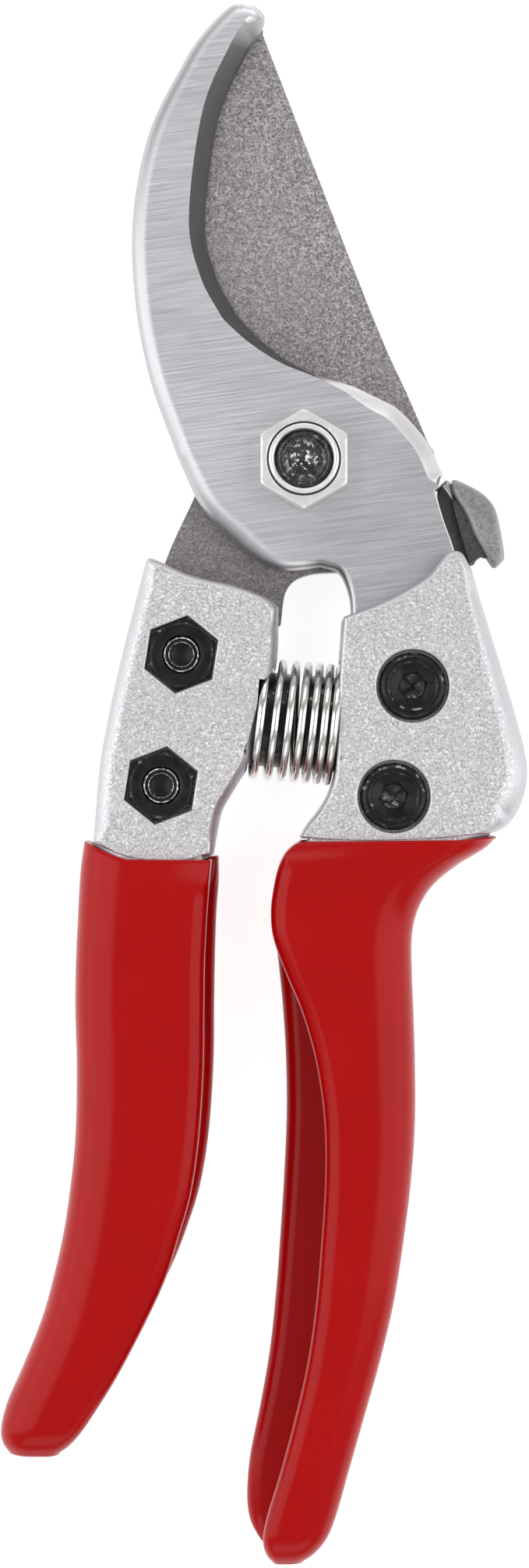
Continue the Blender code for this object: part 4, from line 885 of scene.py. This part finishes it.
def lippedTool(name, loop, zFloor, zMouth):
    # a straight pocket whose mouth flares outwards by a quarter circle, so that the cast edge is round:
    # out = lip * (1 - cos a), height = mouth + lip * (sin a - 1)
    normals, lip = inwardNormals(loop), pocket["lip"]
    way = math.copysign(1, zMouth - zFloor)
    angles = np.linspace(0, 0.5 * math.pi, pocket["lipSteps"])
    flare = [(lip * (1 - math.cos(a)), zMouth + way * lip * (math.sin(a) - 1)) for a in angles]
    levels = [(0.0, zFloor), *flare, (lip, zMouth + way)]
    return meshFromRings(name, [level(loop - normals * out, z) for out, z in levels])


def onSpringAxis(name, end, away, steps, ceiling=math.inf):
    # rings of (distance, radius) along the spring's axis, counted from the floor of its seat; nothing of
    # them stands above the ceiling
    angle = math.tau * np.arange(pocket["seatSides"]) / pocket["seatSides"]
    across = np.array([-away[1], away[0], 0.0])
    way = np.array([*away, 0.0])
    floor = np.array([*end, spring["height"]]) - way * (spring["wire"] + pocket["clearance"])
    steps = np.asarray(steps)[:, :, None, None]
    circle = np.cos(angle)[:, None] * across + np.sin(angle)[:, None] * [0, 0, 1]
    rings = floor + way * steps[:, 0] + circle * steps[:, 1]
    rings[..., 2] = np.minimum(rings[..., 2], ceiling)
    return meshFromRings(name, rings)


def room(name, loop, zLow, zHigh):
    # the space that a plate takes in a casting, with its clearance all round
    gap = pocket["clearance"]
    return prism(name, loop - inwardNormals(loop) * gap, zLow - gap, zHigh + gap)


def screwRooms(side, zLow, zHigh):
    # for each screw: a through hole, a round pocket for the head and a hexagon one for the nut
    headUp = fastening[side]["headUp"]
    headMouth, nutMouth, way = (zHigh, zLow, 1) if headUp else (zLow, zHigh, -1)
    tools = []
    for place in ("upper", "lower"):
        centre = middle(f"{side}_{place}_screw")[:2]
        nutFloor = heights(f"{side}_{place}_nut")[1 if headUp else 0] + way * pocket["clearance"]
        hole = circleLoop(centre, holes["screw"], holes["screwSides"])
        head = circleLoop(centre, pocket["headRadius"], pocket["headSides"])
        nut = hexLoop(centre, pocket["nutCornerRadius"], fastening[side]["nutTurnDeg"])
        tools += [prism("holeTool", hole, zLow - 1, zHigh + 1),
                  lippedTool("headTool", head, headMouth - way * pocket["headDepth"], headMouth),
                  lippedTool("nutTool", nut, nutFloor, nutMouth)]
    return tools


def makeHead(side, head, grip, order, tools, springEnd, away):
    # the outline with its edges, joined to the core, less the spring's seat, with the spigot, less the rooms
    node, p = f"{side}_handle", pocket
    zLow, zHigh = heights(node)
    loop, edges = edgedLoop([(head[run], *head["edges"][run]) for run in order])
    piece = meshFromRings(f"{side}Head", edgeRings(loop, edges, zLow, zHigh, lowShare=1.0))
    sections = handleSections(grip, handle["coreInset"], grip["coreTop"] + grip["stations"],
                              *heights(f"{side}_grip"))
    coreEnd = grip["stations"][-1][0] + handle["coreShort"]
    combine(piece, [meshFromRings("coreTool", sections[sections[:, 0, 1] > coreEnd])], "UNION")
    seat, deep, radius, reach = p["seatRadius"], p["seatReach"], p["spigotRadius"], p["spigotLength"]
    # the seat stays under a skin of metal, which is cut through only at its mouth
    combine(piece, [onSpringAxis("seatTool", springEnd, away, [(0.0, seat), (deep, seat)], zHigh - p["skin"]),
                    onSpringAxis("mouthTool", springEnd, away, [(p["skinFrom"], seat), (deep, seat)])])
    wide, narrow = p["spigotRound"]
    profile = [(-p["spigotRoot"], radius), (reach - wide, radius), (reach - narrow, radius - narrow),
               (reach, radius - wide)]
    combine(piece, [onSpringAxis("spigotTool", springEnd, away, profile)], "UNION")
    combine(piece, tools)
    finished(piece, cast, grip["body"], node, sharpDeg=40)
    # the spigot is black, and the seat's floor is painted black as painted shade in its hollow
    offset = faceArrays(piece)[0] - [*springEnd, spring["height"]]
    along = offset @ [*away, 0.0]
    fromAxis = np.linalg.norm(offset - along[:, None] * [*away, 0.0], axis=1)
    more, less = p["blackMargin"]
    onSpigot = (fromAxis < radius + more) & (along > p["blackFrom"]) & (along < reach)
    shadedFloor = (fromAxis < seat - less) & (along > p["blackFrom"]) & (along < p["floorShadeTo"])
    secondFinish(piece, black, onSpigot | shadedFloor)


def makeRightHead():
    zLow, zHigh = heights("right_handle")
    hookLow, hookHigh = heights("counter_blade")
    start, end, gap = rightHead["tangFrom"], rightHead["tangTo"], pocket["clearance"]
    tang = np.vstack(joined([start + hook["tang"] + end, end + start], pocket["roomSpacing"]))
    tools = [room("tangTool", tang, hookLow, hookLow + hook["tangHeight"]),
             prism("plateTool", np.array(rightHead["plateRoom"]), hookLow - gap, hookHigh + gap),
             prism("lockTool", np.array(rightHead["lockRoom"]), zLow - 1, hookLow - pocket["lockGap"])]
    makeHead("right", rightHead, rightGrip, ("top", "palm", "bottom", "inner"),
             tools + screwRooms("right", zLow, zHigh), spring["right"], -springAxis())


def makeLeftHead():
    start, end = leftHead["tangFrom"], leftHead["tangTo"]
    runs = [start + blade["tang"][:-1], [blade["tang"][-2]] + end, end + start]
    tang = anticlockwise(np.vstack(joined(runs, pocket["roomSpacing"])))
    tools = [room("tangTool", tang, *heights("cutting_blade"))]
    makeHead("left", leftHead, leftGrip, ("top", "inner", "bottom", "palm"),
             tools + screwRooms("left", *heights("left_handle")), spring["left"], springAxis())


# Return spring, across between the handles.

spring = {"left": (-6.4, -32.8), "right": (4.5, -33.7), "height": 8.4, "radius": 7.4, "wire": 0.52,
          "turns": 7.0, "tightening": 0.26, "perTurn": 72, "sides": 16, "sharpDeg": 50}


def springAxis():
    way = np.array(spring["right"]) - np.array(spring["left"])
    return way / np.linalg.norm(way)


def makeSpring():
    # centre line: start + way * reach(t) + radius * (across cos a + up sin a), with reach = t + k t (1 - t);
    # the wire's ring at each point is spanned by the outward direction and by the one square to it
    s = spring
    start, end = (np.array([*s[side], s["height"]]) for side in ("left", "right"))
    along = springAxis()
    across, up = np.array([-along[1], along[0], 0.0]), np.array([0.0, 0.0, 1.0])
    t = np.linspace(0, 1, int(s["turns"] * s["perTurn"]) + 1)[:, None]
    angle = -math.tau * s["turns"] * t - 0.5 * math.pi
    outward = across * np.cos(angle) + up * np.sin(angle)
    line = start + (end - start) * (t + s["tightening"] * t * (1 - t)) + outward * s["radius"]
    forward = np.gradient(line, axis=0)
    forward /= np.linalg.norm(forward, axis=1)[:, None]
    square = np.cross(forward, outward)
    turn = (math.tau * np.arange(s["sides"]) / s["sides"])[None, :, None]
    rings = line[:, None] + s["wire"] * (outward[:, None] * np.cos(turn) + square[:, None] * np.sin(turn))
    piece = meshFromRings("returnSpring", rings)
    piece.data.materials.append(wire)
    piece.data.shade_smooth()
    piece.data.set_sharp_from_angle(angle=math.radians(s["sharpDeg"]))
    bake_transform(piece)
    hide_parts("return_spring")


# Nuts, screws and the pivot.

nutShape = {"perSide": 14, "chamferDeg": 30, "cornerRadius": 4.62, "holeRadius": 2.45, "topRadius": 3.85,
            "round": 0.1}


def hexNut(name, centre, zLow, zHigh, turnDeg, shape, collar=None):
    # side wall: the hexagon's radius at each angle; its ends drop by (radius - top) * tan 30, which draws
    # the curved chamfer; then the top face, an optional raised ring and the hole
    corners = hexLoop((0, 0), shape["cornerRadius"], turnDeg, nutShape["perSide"])
    radius = np.linalg.norm(corners, axis=1)
    unit = corners / radius[:, None]
    top = np.minimum(shape["topRadius"], radius)
    drop = np.maximum(radius - shape["topRadius"], 0) * math.tan(math.radians(nutShape["chamferDeg"]))

    def ring(reach, z):
        return level(centre + unit * np.broadcast_to(reach, radius.shape)[:, None], z)

    rings = [ring(shape["holeRadius"], zLow), ring(top, zLow), ring(radius, zLow + drop),
             ring(radius, zHigh - drop), ring(top, zHigh)]
    rings += [ring(reach, zHigh + rise) for reach, rise in collar or [(shape["holeRadius"], 0.0)]]
    return meshFromRings(name, rings, closedAlong=True)


# Profiles are (radius, rise): the collar counts from the nut's face, the bolt from its foot, its head and its
# end, and the washer from its two faces.
pivot = {
    "cornerRadius": 6.35, "topRadius": 6.0, "holeRadius": 3.75, "collarHeight": 0.5, "round": 0.16,
    "turnDeg": 30,
    "collar": [(4.69, 0.0), (4.65, -0.25), (4.53, -0.25), (4.45, 0.3), (4.3, 0.475), (4.05, 0.5), (3.87, 0.4),
               (3.75, 0.15)],
    "boltFoot": [(0.001, 0.0), (5.8, 0.0), (6.65, 0.15), (7.0, 0.6)],
    "boltHead": [(7.0, -0.25), (6.75, 0.0), (3.55, 0.0)], "headGap": 0.3,
    "boltEnd": [(3.55, -0.35), (3.25, -0.08), (3.05, -0.12), (2.8, -0.75), (2.2, -0.95), (1.2, -0.7),
                (0.5, -0.6), (0.001, -0.58)],
    "boltSides": 96, "darkEnd": 2.0,
    "washerLow": [(3.9, 0.0), (6.8, 0.0), (7.0, 0.2)], "washerHigh": [(7.0, -0.2), (6.8, 0.0), (3.9, 0.0)],
}


def makePivot():
    nutLow, nutHigh = heights("pivot_nut")
    nut = hexNut("pivotNut", (0, 0), nutLow, nutHigh - pivot["collarHeight"], pivot["turnDeg"], pivot,
                 pivot["collar"])
    softened(nut, pivot["round"])
    finished(nut, plated, "hook_side", "pivot_nut")

    (boltLow, boltHigh), (washerLow, washerHigh) = heights("pivot_bolt"), heights("pivot_washer")
    profile = stacked((boltLow, 1, pivot["boltFoot"]), (washerLow - pivot["headGap"], 1, pivot["boltHead"]),
                      (boltHigh, 1, pivot["boltEnd"]))
    bolt = turned("pivotBolt", profile, (0, 0), pivot["boltSides"])
    finished(bolt, plated, "hook_side", "pivot_bolt", sharpDeg=40)
    secondFinish(bolt, boltEnd, faceArrays(bolt)[0][:, 2] > boltHigh - pivot["darkEnd"])

    profile = stacked((washerLow, 1, pivot["washerLow"]), (washerHigh, 1, pivot["washerHigh"]))
    washer = turned("pivotWasher", profile, (0, 0))
    hole = circleLoop((0, 0), holes["pivot"], holes["pivotSides"])
    combine(washer, [prism("washerTool", hole, washerLow - 1, washerHigh + 1)])
    finished(washer, wire, "hook_side", "pivot_washer")


# Profiles are (radius, depth): from the shank's end inwards, from the head's back inwards and from its face.
screw = {
    "end": [(0.001, 1.2), (1.35, 1.1), (1.5, 0.12), (1.62, 0.0), (2.05, 0.0), (2.2, 0.08), (2.3, 0.3)],
    "back": [(2.3, 0.0), (4.15, 0.0), (4.3, 0.15)], "headDepth": 2.2,
    "face": [(4.3, 0.9), (4.22, 0.55), (4.02, 0.24), (3.72, 0.05), (3.45, 0.0), (3.15, 0.05), (2.95, 0.22),
             (2.85, 0.5), (0.001, 0.55)],
    "sides": 72, "round": 0.06, "socketRadius": 1.95, "socketDepth": 1.7, "socketTurnDeg": 10,
    "drillShare": 0.84, "drillFrom": 0.05, "drillTo": 0.9, "drillTip": 0.02, "drillSides": 48,
    "burrDepth": 0.32, "burrOuter": 1.95, "burrInner": (1.42, 1.64),
}


def makeScrew(name, node, body, headUp):
    # turned profile from the shank's end to the head's face, then a hexagon socket with a drilled cone
    s = screw
    low, high = heights(node)
    centre = middle(node)[:2]
    face, end, way = (high, low, 1) if headUp else (low, high, -1)
    profile = stacked((end, way, s["end"]), (face - way * s["headDepth"], way, s["back"]),
                      (face, -way, s["face"]))
    piece = turned(name, profile, centre, s["sides"])
    floor = face - way * s["socketDepth"]
    socket = circleLoop(centre, s["socketRadius"], 6, s["socketTurnDeg"])
    drill = [(s["socketRadius"] * s["drillShare"], floor + way * s["drillFrom"]),
             (s["drillTip"], floor - way * s["drillTo"])]
    combine(piece, [prism("socketTool", socket, *sorted((face, floor))),
                    turned("coneTool", drill, centre, s["drillSides"])])
    softened(piece, s["round"])
    finished(piece, black, body, node)
    # two thin rings of burrs on the shank's end
    middles = faceArrays(piece)[0]
    fromAxis = np.linalg.norm(middles[:, :2] - centre, axis=1)
    innerFrom, innerTo = s["burrInner"]
    burred = (fromAxis > s["burrOuter"]) | ((fromAxis > innerFrom) & (fromAxis < innerTo))
    secondFinish(piece, wornEnd, (np.abs(middles[:, 2] - end) < s["burrDepth"]) & burred)


def makeFasteners():
    for side, f in fastening.items():
        for place in ("upper", "lower"):
            makeScrew(f"{side}{place.title()}Screw", f"{side}_{place}_screw", f["body"], f["headUp"])
            node = f"{side}_{place}_nut"
            nut = hexNut(f"{side}{place.title()}Nut", middle(node)[:2], *heights(node), f["nutTurnDeg"],
                         nutShape)
            softened(nut, nutShape["round"])
            finished(nut, black, f["body"], node)


# Thumb lock: a thin web on the pin, a rib, a thick pad for the thumb and a bright strip by the hook's nose.

lock = {
    "web": [(14.9, -13.0), (15.6, -11.4), (16.9, -9.4), (17.7, -7.4), (17.9, -6.3), (17.5, -5.0),
            (17.5, -3.2), (18.6, -2.2), (20.4, -4.6), (23.2, -11.0), (22.2, -12.8), (20.6, -13.2),
            (19.2, -14.9), (17.0, -15.4), (15.3, -14.6)],
    "rib": [(19.3, -4.6), (19.4, -5.7), (20.9, -11.0), (21.5, -12.9), (22.1, -12.6), (22.9, -12.0),
            (23.6, -12.2), (23.6, -10.6), (21.6, -6.6), (20.4, -4.4)],
    "pad": [(19.0, -2.6), (19.6, -2.0), (21.7, -2.9), (23.3, -3.9), (24.5, -5.2), (25.1, -6.7),
            (25.6, -9.0), (26.0, -11.8), (25.7, -12.6), (24.8, -13.3), (23.9, -12.3), (22.1, -9.2),
            (20.9, -6.4), (19.4, -3.9), (19.0, -2.6)],
    "bright": [(17.9, -1.6), (18.95, -2.0), (19.35, -3.2), (19.45, -4.6), (18.5, -3.3), (17.9, -2.6)],
    "padLow": 6.2, "ribLow": 6.5, "ribHigh": 9.3, "brightRise": 0.12, "pinHole": 1.8, "pinSides": 40,
    "padEdge": 0.8, "padSpacing": 0.2, "padBand": 0.06, "plateEdge": 0.2, "plateSteps": 3,
    "darkMargin": 0.05, "brightBand": (0.02, 0.01),
}


def straightPlate(name, corners, zLow, zHigh):
    # a straight-sided outline with small rounds along its upper and lower edges
    sides = zip(corners, corners[1:] + corners[:1])
    loop = anticlockwise(np.vstack([evenly(np.array(side))[:-1] for side in sides]))
    edges = np.tile([lock["plateEdge"], lock["plateEdge"], 1.0], (len(loop), 1))
    return meshFromRings(name, edgeRings(loop, edges, zLow, zHigh, 1.0, lock["plateSteps"]))


def makeLock():
    padHigh = heights("lock_lever")[1]
    bladeLow, bladeHigh = heights("cutting_blade")
    brightHigh = bladeHigh + lock["brightRise"]
    piece = straightPlate("lockLever", lock["web"], bladeLow, bladeHigh)
    rib = straightPlate("ribTool", lock["rib"], lock["ribLow"], lock["ribHigh"])
    bright = straightPlate("brightTool", lock["bright"], lock["ribLow"], brightHigh)
    loop, edges = edgedLoop([(lock["pad"], lock["padEdge"], lock["padEdge"], 1.0)], lock["padSpacing"])
    pad = meshFromRings("padTool", edgeRings(loop, edges, lock["padLow"], padHigh, 1.0, flat=lock["padBand"]))
    combine(piece, [pad, rib, bright], "UNION")
    pinHole = circleLoop(middle("lock_pin")[:2], lock["pinHole"], lock["pinSides"])
    combine(piece, [prism("pinTool", pinHole, bladeLow - 1, bladeHigh + 1)])
    finished(piece, lockMetal, "lock", "lock_lever")
    # painted shade: all but the pad takes the darker copy of the lock's metal, and the strip's top is bright
    z = faceArrays(piece)[0][:, 2]
    above, past = lock["brightBand"]
    secondFinish(piece, lockShaded, z < lock["ribHigh"] + lock["darkMargin"])
    secondFinish(piece, plated, (z > bladeHigh + above) & (z < brightHigh + past))
    for node, material in (("lock_pin", plated), ("lock_washer", wire)):
        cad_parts[node].data.materials.clear()
        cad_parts[node].data.materials.append(material)


# Stage, light and camera: a panel is (name, place, size, light given off), in metres.

studio = {
    "cameraAt": (-5.0, -41.3), "planeHeight": 12.0, "distance": 400.0, "viewHeight": 201.2, "sensor": 24.0,
    "clip": (0.01, 10.0), "floorReach": 3000.0, "floorHeights": (-10.0, -0.4),
    "floor": {"Base Color": (0.5, 0.5, 0.5, 1.0), "Roughness": 0.9, "Specular IOR Level": 0.1,
              "Emission Color": (1, 1, 1, 1), "Emission Strength": 0.80},
    "worldLight": 0.5, "aim": (-0.005, -0.04, 0.0),
    "panels": [("leftPanel", (-0.56, 0.0, 0.42), (0.5, 1.0), 1.7),
               ("rightPanel", (0.56, -0.06, 0.42), (0.5, 1.0), 1.5),
               ("farPanel", (0.0, 0.62, 0.45), (0.9, 0.4), 1.3),
               ("nearPanel", (0.0, -0.70, 0.45), (0.9, 0.4), 1.1)],
}


def makePanel(name, place, size, radiance):
    # a panel's power is its light given off times pi times its area
    light = bpy.data.lights.new(name, "AREA")
    light.shape = "RECTANGLE"
    light.size, light.size_y = size
    light.energy = radiance * math.pi * size[0] * size[1]
    item = bpy.data.objects.new(name, light)
    item.location = place
    item.rotation_euler = (Vector(studio["aim"]) - Vector(place)).to_track_quat("-Z", "Y").to_euler()
    bpy.context.scene.collection.objects.link(item)


def makeStage():
    paleFloor = Nodes("paleFloor")
    paleFloor.fill(paleFloor.shader, studio["floor"])
    reach = studio["floorReach"]
    corners = np.array([(-reach, -reach), (reach, -reach), (reach, reach), (-reach, reach)])
    floor = prism("floor", corners, *studio["floorHeights"])
    floor.data.materials.append(paleFloor.material)

    world = bpy.data.worlds.new("studio")
    world.use_nodes = True
    background = world.node_tree.nodes["Background"].inputs
    background["Color"].default_value = (1, 1, 1, 1)
    background["Strength"].default_value = studio["worldLight"]
    bpy.context.scene.world = world
    for panel in studio["panels"]:
        makePanel(*panel)


def makeCamera():
    # the lens shows viewHeight at the distance of the plane that the camera looks down on
    camera = bpy.data.cameras.new("camera")
    camera.sensor_fit = "VERTICAL"
    camera.sensor_height = studio["sensor"]
    camera.lens = camera.sensor_height * studio["distance"] / studio["viewHeight"]
    camera.clip_start, camera.clip_end = studio["clip"]
    item = bpy.data.objects.new("camera", camera)
    x, y = studio["cameraAt"]
    item.location = (x * mm, y * mm, (studio["planeHeight"] + studio["distance"]) * mm)
    bpy.context.scene.collection.objects.link(item)
    bpy.context.scene.camera = item
    bpy.context.scene.view_settings.view_transform = "Standard"


makeStage()
makeCamera()
makeHook()
makeBlade()
print("blades made")
makeGrip("rightGrip", "right_grip", rightGrip)
makeGrip("leftGrip", "left_grip", leftGrip)
print("grips made")
makeRightHead()
makeLeftHead()
print("cast heads made")
makeSpring()
makePivot()
makeFasteners()
makeLock()
print("fasteners, spring and lock made")
